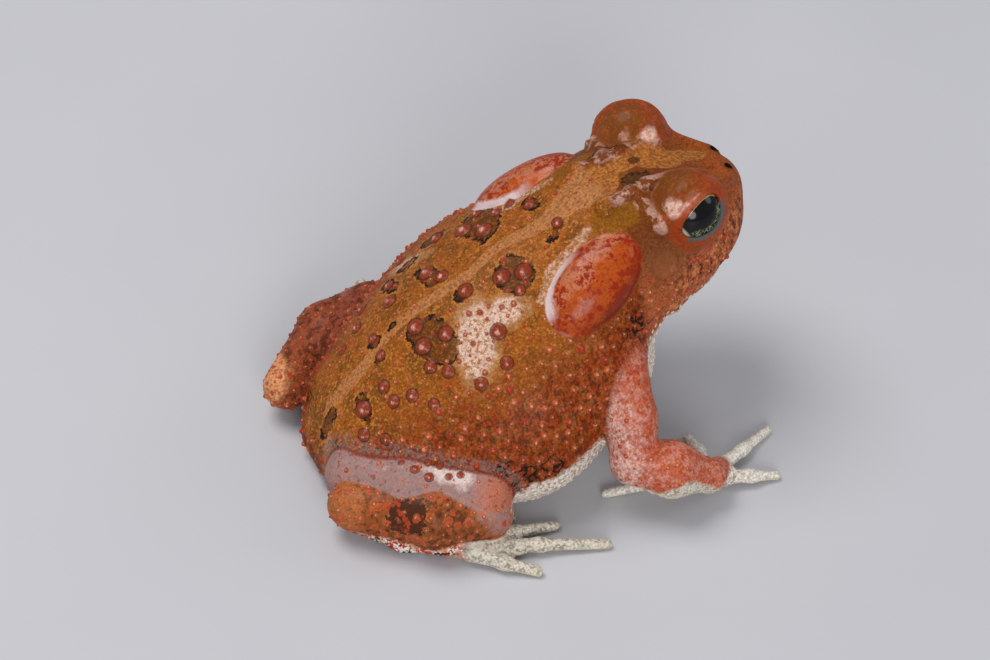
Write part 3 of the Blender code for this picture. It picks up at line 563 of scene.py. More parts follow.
def cage_balls():
    """Rough balls that fill the whole toad."""
    balls = [*TRUNK_BALLS, CHEST]
    for centre, radii in (CRANIUM, SNOUT, MUZZLE, UPPER_JAW, THROAT):
        balls.append((tuple(head_place(centre)), radii))
    for middle, axes in toad.glands:
        for share in PAROTOID_SPREAD:
            balls.append((tuple(middle + share * PAROTOID_RADII[0] * axes[:, 0]), (PAROTOID_BALL,) * 3))
    for _, side in SIDES:
        balls.append((tuple(head_place(BROW[0], side)), BROW[1]))
        for stops in (CREST, CREST_BEHIND_EYE, ((*CANTHUS[0], CANTHUS[2]), (*CANTHUS[1], CANTHUS[3]))):
            balls += stops_to_balls([(*head_place(stop, side), stop[3]) for stop in stops])
        for stem, digits, webs in toad.limbs[side].values():
            for stops in (stem, *digits):
                balls += stops_to_balls(stops)
            for corners in webs:
                balls += web_balls(corners)
    return balls


def web_balls(corners):
    """Small balls spread over a triangle."""
    balls = []
    for i in range(WEB_STEPS + 1):
        for j in range(WEB_STEPS + 1 - i):
            spot = corners[0] + ((corners[1] - corners[0]) * i + (corners[2] - corners[0]) * j) / WEB_STEPS
            balls.append((tuple(spot), (WEB_HALF_THICKNESS + 0.2,) * 3))
    return balls


def ball_mesh(fineness):
    shape = bmesh.new()
    bmesh.ops.create_icosphere(shape, subdivisions=fineness, radius=1.0)
    mesh = bpy.data.meshes.new("ball")
    shape.to_mesh(mesh)
    shape.free()
    return mesh


def gathered(name, copies):
    """One mesh of many placed copies, given as (mesh, 4 x 4 place)."""
    shape = bmesh.new()
    for mesh, place in copies:
        copy = mesh.copy()
        copy.transform(place)
        shape.from_mesh(copy)
        bpy.data.meshes.remove(copy)
    mesh = bpy.data.meshes.new(name)
    shape.to_mesh(mesh)
    shape.free()
    return mesh


def ball_cage(balls):
    coarse, fine = ball_mesh(2), ball_mesh(3)
    copies = []
    for centre, radii in balls:
        place = Matrix.Translation(Vector(centre)) @ Matrix.Diagonal((*radii, 1.0))
        copies.append((fine if max(radii) > SMALL_BALL else coarse, place))
    return gathered("cage", copies)


def new_object(name, mesh):
    item = bpy.data.objects.new(name, mesh)
    bpy.context.scene.collection.objects.link(item)
    return item


def applied(item, kind, **settings):
    """Adds one modifier to an object and makes its result the object's own mesh."""
    modifier = item.modifiers.new(kind.title(), kind)
    for key, value in settings.items():
        setattr(modifier, key, value)
    evaluated = item.evaluated_get(bpy.context.evaluated_depsgraph_get())
    mesh = bpy.data.meshes.new_from_object(evaluated)
    item.modifiers.clear()
    item.data = mesh
    return item


def read_points(mesh):
    points = np.empty(len(mesh.vertices) * 3)
    mesh.vertices.foreach_get("co", points)
    return points.reshape(-1, 3)


def write_points(mesh, points):
    mesh.vertices.foreach_set("co", np.ascontiguousarray(points).ravel())
    mesh.update()


def settle(mesh, form, steps=SETTLE_STEPS):
    """Moves each point along the form's slope until the form reads zero there."""
    points = read_points(mesh)
    moving = np.arange(len(points))
    for _ in range(steps):
        here, slope = slope_of(points[moving], form)
        strength = np.maximum((slope ** 2).sum(axis=1), 0.05)
        step = -here / strength
        length = np.abs(step) * np.sqrt(strength)
        step *= np.minimum(1.0, SETTLE_LIMIT / np.maximum(length, 1e-9))
        points[moving] += step[:, None] * slope
        moving = moving[np.abs(here) > SETTLED]
        if not len(moving):
            break
    points[:, 2] = np.maximum(points[:, 2], 0.0)
    write_points(mesh, points)


def grow_skin():
    """The one skin of the toad, still in millimetres."""
    skin = new_object("skin", ball_cage(cage_balls()))
    for voxel in (ROUGH_VOXEL, SKIN_VOXEL, SKIN_VOXEL):
        applied(skin, "REMESH", mode="VOXEL", voxel_size=voxel)
        settle(skin.data, toad.form)
    faces = 2 * len(skin.data.polygons)
    if faces > SKIN_TRIANGLES:
        applied(skin, "DECIMATE", ratio=SKIN_TRIANGLES / faces, use_collapse_triangulate=True)
    for reach in FINE_REACHES:
        divide(skin.data, near_openings(read_points(skin.data), reach))
        settle(skin.data, toad.form)
    return skin


def near_openings(points, reach):
    """Which points lie close to the lids and the nostrils."""
    folded = head_frame(points)[1]
    at_lids = (np.abs(eye_opening(folded)) < reach) & (ball(folded, EYE_CENTRE, EYE_RADIUS) < 2.0)
    return at_lids | (ball(folded, *NOSTRIL) < reach)


def divide(mesh, wanted):
    """Cuts the edges between wanted points in two."""
    shape = bmesh.new()
    shape.from_mesh(mesh)
    edges = [edge for edge in shape.edges if all(wanted[v.index] for v in edge.verts)]
    bmesh.ops.subdivide_edges(shape, edges=edges, cuts=1, use_grid_fill=True)
    bmesh.ops.triangulate(shape, faces=[face for face in shape.faces if len(face.verts) > 4])
    shape.to_mesh(mesh)
    shape.free()


def to_metres(item):
    item.data.transform(Matrix.Scale(METRE, 4))
    item.data.update()


def add_values(mesh, values):
    """Stores named numbers on a mesh's points, for the materials to read."""
    for name, numbers in values.items():
        layer = mesh.attributes.new(name, "FLOAT", "POINT")
        layer.data.foreach_set("value", np.ascontiguousarray(numbers, dtype=np.float32))


# Markings. Each is a number on the points, in millimetres inside its edge unless it says otherwise.

# The stripe's middle as (x, y) and its half width as (x, width). HEAD_TAN widens it on the head with
# ovals as in BLOTCHES.
STRIPE_LINE = ((-26.0, -4.5), (-24.0, -0.6), (-18.7, -0.4), (-14.5, 0.2), (-8.2, -0.2), (-4.5, -0.6),
               (-1.2, 0.4), (1.8, 0.3), (6.1, -0.7), (9.0, 0.0), (40.0, 0.0))
STRIPE_WIDTHS = ((-26.0, 1.1), (-15.0, 0.8), (0.0, 0.75), (5.0, 1.0), (9.0, 2.2), (12.5, 2.9))
HEAD_TAN = ((12.6, 0.0, 3.2, 3.1, 0.0), (17.5, 1.4, 4.0, 1.3, 10.0), (21.6, 1.3, 3.6, 2.2, -12.0),
            (26.0, 1.6, 3.6, 1.2, 10.0))
# Top of the pale belly as (x, z).
BELLY_LINE = ((-28.0, 0.6), (-20.0, 1.4), (-14.0, 3.4), (-9.0, 6.2), (-5.0, 7.8), (0.0, 8.8), (5.0, 10.6),
              (8.0, 13.6), (12.0, 18.2), (16.0, 19.4))
# Spots as (x, y, z, radius), the nets on both sides, and the band as stops of a chain.
DARK_NETS = ((-6.4, 20.2, 8.4, 2.6), (-8.4, 19.6, 10.6, 1.6), (-2.6, 20.6, 9.6, 2.0),
             (12.2, 13.6, 21.2, 2.4), (-24.6, 5.0, 7.6, 1.4))
# The next spots are pink painted highlights on the tops of the lids.
LID_HIGHLIGHT_SPOTS = ((19.4, -8.8, 34.3, 1.25), (19.0, 4.6, 35.9, 1.0), (22.3, 4.1, 34.9, 1.0),
             (20.8, -10.0, 35.0, 0.6), (21.8, -10.0, 35.6, 0.5), (22.8, -10.0, 36.0, 0.5))
NAPE_BAND = ((9.4, 5.0, 31.2, 0.6), (4.2, 6.6, 28.1, 0.9), (1.4, 9.0, 26.2, 0.6))
# Dark ovals on the head as in BLOTCHES, partly dark marks of the crown and partly painted shade in the
# grooves between the crests and the lids, and olive spots in the head's own frame.
HEAD_DARK_AND_SHADE = ((17.6, -1.6, 1.9, 1.1, 0.0), (19.3, -3.8, 1.4, 0.7, 10.0), (17.0, 4.2, 2.6, 0.8, -12.0),
             (18.8, 1.5, 0.9, 0.7, 0.0))
OLIVE_SPOTS = ((0.2, 5.6, 12.6, 1.9), (-2.6, 5.4, 12.2, 1.9))
FACE_TOP = 9.5
THROAT_DROP = 2.8
SNOUT_BACK = 12.5
LID_REACH = 0.55
LID_EDGE_WIDTH = 0.5
CREST_REACH = 0.2
MOUTH_LINE = 0.32
# Top of the arm's pale underside as (x, z).
LOW_ARM = ((8.0, 5.6), (12.0, 4.8), (16.8, 3.2))
ARM_MIDDLE = 8.3
FOLD_WIDTH = 0.8
HIP_REACH = 2.4
TIP_HEIGHT = 0.9
# Places on a leg as a middle (x, distance from the body's middle, z) and a radius.
LEG_SPOTS = {
    "knee": ((-9.6, 21.0, 6.6), 4.5),
    "knee_edge": ((-7.2, 20.8, 3.6), 3.0),
    "heel": ((-27.4, 12.0, 5.2), 3.6),
    "band": ((-21.2, 18.4, 6.9), 2.5),
}
# Line of a pale painted highlight along the top of the near thigh, as its two ends and their radii.
THIGH_HIGHLIGHT_LINE = ((-22.5, 11.0, 9.2), (-13.5, 17.4, 9.4), 0.4, 2.2)


def plan_ovals(points, ovals):
    """How far inside the nearest oval drawn on the back, seen from above."""
    deepest = np.full(len(points), -9.0)
    for x, y, half_length, half_width, turn in ovals:
        turn = math.radians(turn)
        along = (points[:, 0] - x) * math.cos(turn) + (points[:, 1] - y) * math.sin(turn)
        across = (points[:, 1] - y) * math.cos(turn) - (points[:, 0] - x) * math.sin(turn)
        share = np.hypot(along / half_length, across / half_width)
        deepest = np.maximum(deepest, (1.0 - share) * min(half_length, half_width))
    return deepest


def in_spots(points, spots):
    """How far inside the nearest of some balls (x, y, z, radius)."""
    deepest = np.full(len(points), -9.0)
    for x, y, z, radius in spots:
        deepest = np.maximum(deepest, -ball(points, (x, y, z), radius))
    return deepest


def folded_over(points):
    """The points with the right side laid on the left."""
    folded = points.copy()
    folded[:, 1] = np.abs(points[:, 1])
    return folded


def head_marks(points):
    own, folded = head_frame(points)
    in_front = own[:, 0] > HEAD_BACK
    above = mouth_height(own)
    crest = np.minimum(chain(folded, CREST), chain(folded, CREST_BEHIND_EYE))
    drum_centre, drum_radius = DRUM
    from_drum = np.hypot(folded[:, 0] - drum_centre[0], folded[:, 2] - drum_centre[2])
    at_side = in_front & (folded[:, 1] > DRUM_SIDE)
    marks = {
        "head": own[:, 0] + 1.0,
        "face_low": FACE_TOP - own[:, 2],
        "throat": -above - THROAT_DROP,
        "snout": own[:, 0] - SNOUT_BACK,
        "lid": LID_REACH - ellipsoid(folded, *BROW),
        "lid_edge": LID_EDGE_WIDTH - eye_opening(folded),
        "lid_low": -above_eye(folded),
        "crest": CREST_REACH - crest,
        "lid_pink": in_spots(points, LID_HIGHLIGHT_SPOTS),
        "olive": in_spots(folded, OLIVE_SPOTS),
        "nostril": -ball(folded, *NOSTRIL),
    }
    for name in marks:
        marks[name] = np.where(in_front, marks[name], -9.0)
    marks["drum"] = np.where(at_side, drum_radius - from_drum, -9.0)
    marks["mouth"] = np.where(in_front & (own[:, 0] > MOUTH_CORNER_X), MOUTH_LINE - np.abs(above), -9.0)
    return marks


def limb_marks(points, body):
    marks = {}
    gaps = {part: np.full(len(points), 99.0) for part in toad.limbs[1.0]}
    for side in toad.limbs:
        for part in gaps:
            gaps[part] = np.minimum(gaps[part], toad.limb_distance(points, part, side))
    arm = np.minimum(gaps["upper_arm"], gaps["forearm"])
    marks["arm"] = body - arm
    marks["hand"] = np.minimum(body, arm) - gaps["hand"]
    marks["thigh"] = body - gaps["thigh"]
    marks["shank"] = np.minimum(body, gaps["thigh"]) - gaps["shank"]
    marks["foot"] = np.minimum(body, gaps["shank"]) - gaps["foot"]
    marks["fold"] = FOLD_WIDTH - np.maximum(np.abs(body), np.abs(gaps["thigh"]))
    marks["above_fold"] = HIP_REACH - gaps["thigh"]
    folded = folded_over(points)
    for name, spot in LEG_SPOTS.items():
        marks[name] = -ball(folded, *spot)
    marks["streak"] = np.where(points[:, 1] < 0.0, -bar(folded, *THIGH_HIGHLIGHT_LINE), -9.0)
    marks["left"] = points[:, 1]
    marks["arm_low"] = along_table(points[:, 0], LOW_ARM) - points[:, 2]
    marks["arm_rear"] = ARM_MIDDLE - points[:, 0]
    marks["tip"] = TIP_HEIGHT - np.maximum(points[:, 2], 0.0)
    return marks


def markings(points):
    """All the markings at some points of the skin."""
    table = np.array(TRUNK_STATIONS)
    x = points[:, 0]
    top, widest = (smooth_curve(table[:, 0], table[:, k], x) for k in (1, 2))
    body = body_form(points)
    stripe = along_table(x, STRIPE_WIDTHS) - np.abs(points[:, 1] - along_table(x, STRIPE_LINE))
    stripe = np.where(x < 14.5, stripe, -9.0)
    marks = {
        "rise": body,
        "back": (points[:, 2] - widest) / (top - widest),
        "belly": along_table(x, BELLY_LINE) - points[:, 2],
        "stripe": np.maximum(stripe, plan_ovals(points, HEAD_TAN)),
        "blotch": plan_ovals(points, BLOTCHES),
        "patch": plan_ovals(points, HIGHLIGHT_PATCHES),
        "net": in_spots(folded_over(points), DARK_NETS),
        "nape": -chain(folded_over(points), NAPE_BAND),
        "head_dark": plan_ovals(points, HEAD_DARK_AND_SHADE),
    }
    for name in ("stripe", "blotch", "patch", "head_dark"):
        marks[name] = np.where(points[:, 2] > widest, marks[name], -9.0)
    marks.update(gland_marks(points))
    marks.update(head_marks(points))
    marks.update(limb_marks(points, body))
    return marks


def gland_marks(points):
    """Depth in a gland, and the place along it and up across it as shares of its size."""
    depth = np.full(len(points), -9.0)
    along = np.full(len(points), -9.0)
    upward = np.full(len(points), -9.0)
    for middle, axes in toad.glands:
        offset = (points - middle) @ axes
        near = np.linalg.norm(offset, axis=1) < 9.0
        depth = np.maximum(depth, -ellipsoid(points, middle, PAROTOID_RADII, axes))
        along = np.where(near, offset[:, 0] / PAROTOID_RADII[0], along)
        upright = 1.0 if axes[2, 1] > 0.0 else -1.0
        upward = np.where(near, upright * offset[:, 1] / PAROTOID_RADII[1], upward)
    return {"gland": depth, "gland_along": along, "gland_height": upward}


def wart_marks(points):
    """1 on top of a large wart, 0 at its foot and less round it. The glint sits off its middle."""
    share = np.full(len(points), -2.0)
    glint = np.full(len(points), -2.0)
    for centre, radius, outward in toad.warts:
        near = ball(points, centre, 3.0 * radius) < 0.0
        offset = points[near] - centre
        sideways = offset - np.outer(offset @ outward, outward)
        here = 1.0 - np.linalg.norm(sideways, axis=1) / (1.05 * radius)
        share[near] = np.maximum(share[near], here)
        shine = np.array(GLINT_WAY) - (np.array(GLINT_WAY) @ outward) * outward
        here = 1.0 - np.linalg.norm(sideways - 0.3 * radius * shine, axis=1) / (0.5 * radius)
        glint[near] = np.maximum(glint[near], here)
    return {"wart": share, "glint": glint}


# Tubercles.

TUBERCLE_RINGS = ((0.0, 1.0), (0.36, 0.84), (0.68, 0.34), (1.0, -0.06))
TUBERCLE_SEGMENTS = 8
TUBERCLE_GRID = 3.6
TUBERCLE_RADII = (0.24, 0.62)
TUBERCLE_SKEW = 1.7
TUBERCLE_HEIGHTS = (0.55, 0.9)
TUBERCLE_CROWDING = 0.4
TUBERCLE_SUNK = 0.02
FINE_SHARE = 0.65
FLAT_SHARE = 0.55
FLANK_EDGES = (0.62, 0.86)
TUBERCLE_GAPS = {"back": 2.4, "patch": 1.5, "stripe": 3.4, "cheek": 1.35, "belly": 0.95, "arm": 1.3,
                 "thigh": 2.1, "shank": 1.35}
FLANK_CLOSER = 0.85
# No tubercle stands where one of these marks is over its value, or lower than BARE_HEIGHT.
BARE_EDGES = {"gland": -0.5, "lid": 0.0, "crest": -0.3, "drum": -0.5, "wart": -0.15, "nostril": -1.2,
              "lid_edge": -0.6, "mouth": -0.3, "fold": 0.2}
BARE_HEIGHT = 0.4


def tubercle_shape():
    """A small bell-shaped dome, spun from its outline."""
    shape = bmesh.new()
    outline = [shape.verts.new((across, 0.0, height)) for across, height in TUBERCLE_RINGS]
    edges = [shape.edges.new(pair) for pair in zip(outline[:-1], outline[1:])]
    bmesh.ops.spin(shape, geom=outline + edges, cent=(0.0, 0.0, 0.0), axis=(0.0, 0.0, 1.0),
                   dvec=(0.0, 0.0, 0.0), angle=2.0 * math.pi, steps=TUBERCLE_SEGMENTS, use_merge=True)
    bmesh.ops.remove_doubles(shape, verts=shape.verts, dist=0.001)
    bmesh.ops.recalc_face_normals(shape, faces=shape.faces)
    if sum(face.normal.z for face in shape.faces) < 0.0:
        bmesh.ops.reverse_faces(shape, faces=shape.faces)
    mesh = bpy.data.meshes.new("tubercle")
    shape.to_mesh(mesh)
    shape.free()
    return mesh


def tubercle_gaps(points, marks):
    """Wanted distance between tubercles at each point, 0 where there are none."""
    flank = 1.0 - eased(marks["back"], *FLANK_EDGES)
    gap = TUBERCLE_GAPS["back"] - FLANK_CLOSER * flank
    gap = np.where(marks["patch"] > 0.0, TUBERCLE_GAPS["patch"], gap)
    gap = np.where(marks["stripe"] > -0.4, TUBERCLE_GAPS["stripe"], gap)
    gap = np.where(marks["head"] > 0.0, 0.0, gap)
    cheek = (marks["head"] > 0.0) & (marks["face_low"] > 2.5) & (marks["snout"] < 0.5)
    gap = np.where(cheek, TUBERCLE_GAPS["cheek"], gap)
    gap = np.where((marks["belly"] > -0.5) | (marks["throat"] > 0.0), TUBERCLE_GAPS["belly"], gap)
    for name in ("arm", "thigh", "shank"):
        gap = np.where(marks[name] > 0.0, TUBERCLE_GAPS[name], gap)
    gap = np.where((marks["hand"] > -0.2) | (marks["foot"] > -0.2), 0.0, gap)
    bare = points[:, 2] < BARE_HEIGHT
    for name, edge in BARE_EDGES.items():
        bare |= marks[name] > edge
    return np.where(bare, 0.0, gap)


def spread_tubercles(points, gaps):
    """Picks points of the skin so that no two are nearer than their wanted gap."""
    chance = random.Random(SEED)
    order = [int(k) for k in np.flatnonzero(gaps)]
    chance.shuffle(order)
    taken = {}
    chosen = []
    for k in order:
        spot = points[k]
        cell = tuple(int(v) for v in spot // TUBERCLE_GRID)
        gap = gaps[k] * chance.uniform(0.8, 1.25)
        near = (there for i in (-1, 0, 1) for j in (-1, 0, 1) for m in (-1, 0, 1)
                for there in taken.get((cell[0] + i, cell[1] + j, cell[2] + m), ()))
        if any(math.dist(spot, other) < gap for other in near):
            continue
        taken.setdefault(cell, []).append(tuple(spot))
        chosen.append((k, gap))
    return chosen


def make_tubercles(skin, marks):
    """All the small tubercles as one piece, and how near each point of the skin is to one."""
    points = read_points(skin.data)
    normals = np.empty(len(points) * 3)
    skin.data.vertex_normals.foreach_get("vector", normals)
    normals = normals.reshape(-1, 3)
    chance = random.Random(SEED + 1)
    dome = tubercle_shape()
    copies = []
    near_one = np.full(len(points), -2.0)
    tints = []
    smallest, largest = TUBERCLE_RADII
    for k, gap in spread_tubercles(points, tubercle_gaps(points, marks)):
        radius = smallest + (largest - smallest) * chance.random() ** TUBERCLE_SKEW
        fine_area = marks["thigh"][k] > 0.0 or marks["arm"][k] > 0.0
        fine_area = fine_area or (marks["back"][k] > 0.75 and marks["head"][k] < 0.0)
        radius = min(TUBERCLE_CROWDING * gap, radius * (FINE_SHARE if fine_area else 1.0))
        smooth_area = marks["belly"][k] > -0.5 or marks["arm"][k] > 0.0
        height = radius * chance.uniform(*TUBERCLE_HEIGHTS) * (FLAT_SHARE if smooth_area else 1.0)
        outward = Vector(normals[k])
        turn = outward.to_track_quat("Z", "Y").to_matrix().to_4x4()
        place = Matrix.Translation(Vector(points[k]) - TUBERCLE_SUNK * outward) @ turn @ Matrix.Diagonal(
            (radius, radius, height, 1.0))
        copies.append((dome, place))
        tints.append(chance.random())
        box = np.all(np.abs(points - points[k]) < 2.5 * radius, axis=1)
        here = 1.0 - np.linalg.norm(points[box] - points[k], axis=1) / radius
        near_one[box] = np.maximum(near_one[box], here)
    mesh = gathered("tubercles", copies)
    crown = np.array([1.0 - math.hypot(v.co.x, v.co.y) for v in dome.vertices])
    count = len(tints)
    own_marks = markings(read_points(mesh))
    own_marks["wart"] = own_marks["glint"] = np.full(len(mesh.vertices), -2.0)
    own_marks["tubercle"] = np.tile(crown, count)
    own_marks["tint"] = np.repeat(np.array(tints), len(dome.vertices))
    add_values(mesh, own_marks)
    return new_object("tubercles", mesh), near_one


# Materials.

class Value:
    """A number that changes over a surface. Sums on it add Math nodes."""

    def __init__(self, paint, socket):
        self.paint = paint
        self.socket = socket

    def sum(self, operation, first, second=None, third=None, clamp=False):
        inputs = {k: v for k, v in enumerate((first, second, third)) if v is not None}
        node = self.paint.node("ShaderNodeMath", {"operation": operation, "use_clamp": clamp}, inputs)
        return Value(self.paint, node.outputs[0])

    def __add__(self, other):
        return self.sum("ADD", self, other)

    def __radd__(self, other):
        return self.sum("ADD", other, self)

    def __sub__(self, other):
        return self.sum("SUBTRACT", self, other)

    def __rsub__(self, other):
        return self.sum("SUBTRACT", other, self)

    def __mul__(self, other):
        return self.sum("MULTIPLY", self, other)

    def __rmul__(self, other):
        return self.sum("MULTIPLY", other, self)

    def __abs__(self):
        return self.sum("ABSOLUTE", self)

    def above(self, edge, softness):
        """0 below the edge, 1 above it, with a soft step of the given width."""
        return self.sum("MULTIPLY_ADD", self, 1.0 / softness, 0.5 - edge / softness, clamp=True)

    def least(self, other):
        return self.sum("MINIMUM", self, other)

    def most(self, other):
        return self.sum("MAXIMUM", self, other)


class Paint:
    """One node material and the kinds of node it is made from."""

    def __init__(self, name):
        self.material = bpy.data.materials.new(name)
        self.material.use_nodes = True
        self.nodes = self.material.node_tree.nodes
        self.links = self.material.node_tree.links
        self.nodes.clear()
        place = self.node("ShaderNodeTexCoord").outputs["Object"]
        self.place = self.scaled(place, 1.0 / METRE)

    def node(self, kind, settings=None, inputs=None):
        """A node with its settings made first and then its sockets filled or linked."""
        node = self.nodes.new(kind)
        for key, value in (settings or {}).items():
            setattr(node, key, value)
        for key, value in (inputs or {}).items():
            socket = node.inputs[key]
            if isinstance(value, Value):
                self.links.new(value.socket, socket)
            elif isinstance(value, bpy.types.NodeSocket):
                self.links.new(value, socket)
            elif isinstance(value, tuple) and len(value) == 3 and socket.type == "RGBA":
                socket.default_value = (*value, 1.0)
            else:
                socket.default_value = value
        return node

    def scaled(self, place, share):
        inputs = {0: place, "Scale": share}
        return self.node("ShaderNodeVectorMath", {"operation": "SCALE"}, inputs).outputs["Vector"]

    def stretched(self, sizes):
        """The place in millimetres, drawn out along the axes."""
        inputs = {"Vector": self.place, "Scale": tuple(1.0 / size for size in sizes)}
        return self.node("ShaderNodeMapping", {"vector_type": "POINT"}, inputs).outputs["Vector"]

    def shaken(self, amount, size):
        """The place in millimetres, pushed about by noise so that lines drawn there turn ragged."""
        inputs = {"Vector": self.place, "Scale": 1.0 / size, "Detail": 3.0}
        noise = self.node("ShaderNodeTexNoise", inputs=inputs).outputs["Color"]
        settings = {"operation": "MULTIPLY_ADD"}
        inputs = {0: noise, 1: (amount,) * 3, 2: self.place}
        return self.node("ShaderNodeVectorMath", settings, inputs).outputs["Vector"]

    def read(self, name):
        return Value(self, self.node("ShaderNodeAttribute", {"attribute_name": name}).outputs["Fac"])

    def grain(self, size, detail=2.0, roughness=0.55, place=None):
        """Cloudy noise between about -0.5 and 0.5. The size is in millimetres."""
        inputs = {"Vector": place or self.place, "Scale": 1.0 / size}
        inputs.update({"Detail": detail, "Roughness": roughness})
        return Value(self, self.node("ShaderNodeTexNoise", inputs=inputs).outputs["Fac"]) - 0.5

    def cells(self, size, place=None):
        """Round cells: the distance from a cell's middle, and a random number for each cell."""
        inputs = {"Vector": place or self.place, "Scale": 1.0 / size}
        node = self.node("ShaderNodeTexVoronoi", {"feature": "F1"}, inputs)
        split = self.node("ShaderNodeSeparateColor", inputs={"Color": node.outputs["Color"]})
        return Value(self, node.outputs["Distance"]), Value(self, split.outputs[0])

    def cracks(self, size, place):
        """Distance to the lines between cells."""
        inputs = {"Vector": place, "Scale": 1.0 / size}
        node = self.node("ShaderNodeTexVoronoi", {"feature": "DISTANCE_TO_EDGE"}, inputs)
        return Value(self, node.outputs["Distance"])

    def mix(self, under, over, share, blend="MIX"):
        """One colour over another by a share."""
        settings = {"data_type": "RGBA", "blend_type": blend, "clamp_result": False}
        return self.node("ShaderNodeMix", settings, {0: share, 6: under, 7: over}).outputs[2]

    def finish(self, colour, roughness, height=None, **constants):
        inputs = {"Base Color": colour, "Roughness": roughness}
        if height is not None:
            bump = self.node("ShaderNodeBump", inputs={"Height": height, "Distance": METRE, "Strength": 1.0})
            inputs["Normal"] = bump.outputs["Normal"]
        inputs.update({key.replace("_", " "): value for key, value in constants.items()})
        shader = self.node("ShaderNodeBsdfPrincipled", inputs=inputs)
        self.node("ShaderNodeOutputMaterial", inputs={"Surface": shader.outputs["BSDF"]})
        return self.material


OCHRE = (0.38, 0.108, 0.013)
OCHRE_DARK = (0.17, 0.045, 0.007)
OCHRE_GOLD = (0.56, 0.205, 0.036)
BACK_OLIVE = (0.20, 0.075, 0.012)
FLANK_BROWN = (0.28, 0.040, 0.005)
FLANK_DARK = (0.085, 0.022, 0.008)
STRIPE_TAN = (0.52, 0.205, 0.065)
STRIPE_PINK = (0.60, 0.27, 0.12)
OLIVE_BROWN = (0.105, 0.040, 0.009)
BROKEN_BLACK = (0.010, 0.006, 0.006)
PALE_SKIN_AND_HIGHLIGHT = (0.78, 0.54, 0.43)
PATCH_TAN = (0.56, 0.29, 0.12)
CREAM = (0.86, 0.78, 0.68)
CREAM_GREY = (0.46, 0.38, 0.31)
WART_MAROON = (0.30, 0.045, 0.014)
WART_DARK = (0.075, 0.018, 0.010)
WART_HIGHLIGHT_PINK = (0.80, 0.42, 0.33)
TUBERCLE_RED = (0.46, 0.042, 0.012)
TUBERCLE_ORANGE = (0.56, 0.110, 0.028)
TUBERCLE_HIGHLIGHT = (0.86, 0.50, 0.36)
HALO = (0.52, 0.23, 0.09)
GLAND_RED = (0.30, 0.020, 0.001)
GLAND_ORANGE = (0.46, 0.072, 0.005)
GLAND_HIGHLIGHT_PINK = (0.60, 0.24, 0.13)
GLAND_EDGE = (0.74, 0.60, 0.60)
HEAD_RUST = (0.21, 0.050, 0.010)
HEAD_OCHRE = (0.43, 0.140, 0.030)
SNOUT_RUST = (0.38, 0.085, 0.018)
CHEEK_RED = (0.46, 0.110, 0.034)
CHEEK_ORANGE = (0.66, 0.24, 0.09)
PURPLE_DARK = (0.055, 0.014, 0.018)
CREST_HIGHLIGHT_PINK = (0.60, 0.34, 0.26)
LID_RED = (0.34, 0.050, 0.009)
LID_BROWN = (0.19, 0.052, 0.008)
LID_HIGHLIGHT_PINK = (0.80, 0.50, 0.40)
OLIVE = (0.28, 0.100, 0.008)
DRUM_BROWN_AND_SHADE = (0.21, 0.070, 0.024)
LID_RIM_GREY = (0.10, 0.10, 0.10)
ARM_BRICK = (0.55, 0.115, 0.052)
ARM_RED = (0.46, 0.055, 0.022)
ARM_PINK = (0.74, 0.36, 0.28)
ARM_SHEEN = (0.80, 0.56, 0.50)
THIGH_MAUVE = (0.38, 0.21, 0.185)
THIGH_HIGHLIGHT = (0.78, 0.63, 0.58)
THIGH_GREY = (0.28, 0.20, 0.19)
THIGH_RED = (0.52, 0.150, 0.075)
FOLD_RED = (0.24, 0.030, 0.012)
SHANK_ORANGE = (0.31, 0.080, 0.020)
SHANK_BROWN = (0.17, 0.045, 0.012)
SHANK_RED = (0.50, 0.055, 0.016)
SHANK_DARK = (0.075, 0.024, 0.010)
HEEL_ORANGE = (0.66, 0.22, 0.07)
HEEL_PALE = (0.80, 0.34, 0.15)
LEG_FAR_RED = (0.30, 0.062, 0.026)
FOOT_CREAM = (0.72, 0.66, 0.54)
FOOT_GREY = (0.25, 0.21, 0.17)
HAND_CREAM = (0.88, 0.82, 0.72)
TIP_YELLOW = (0.80, 0.72, 0.50)


SKIN_SHEEN = 0.06
SKIN_WET = 0.28
SKIN_WET_ROUGHNESS = 0.2


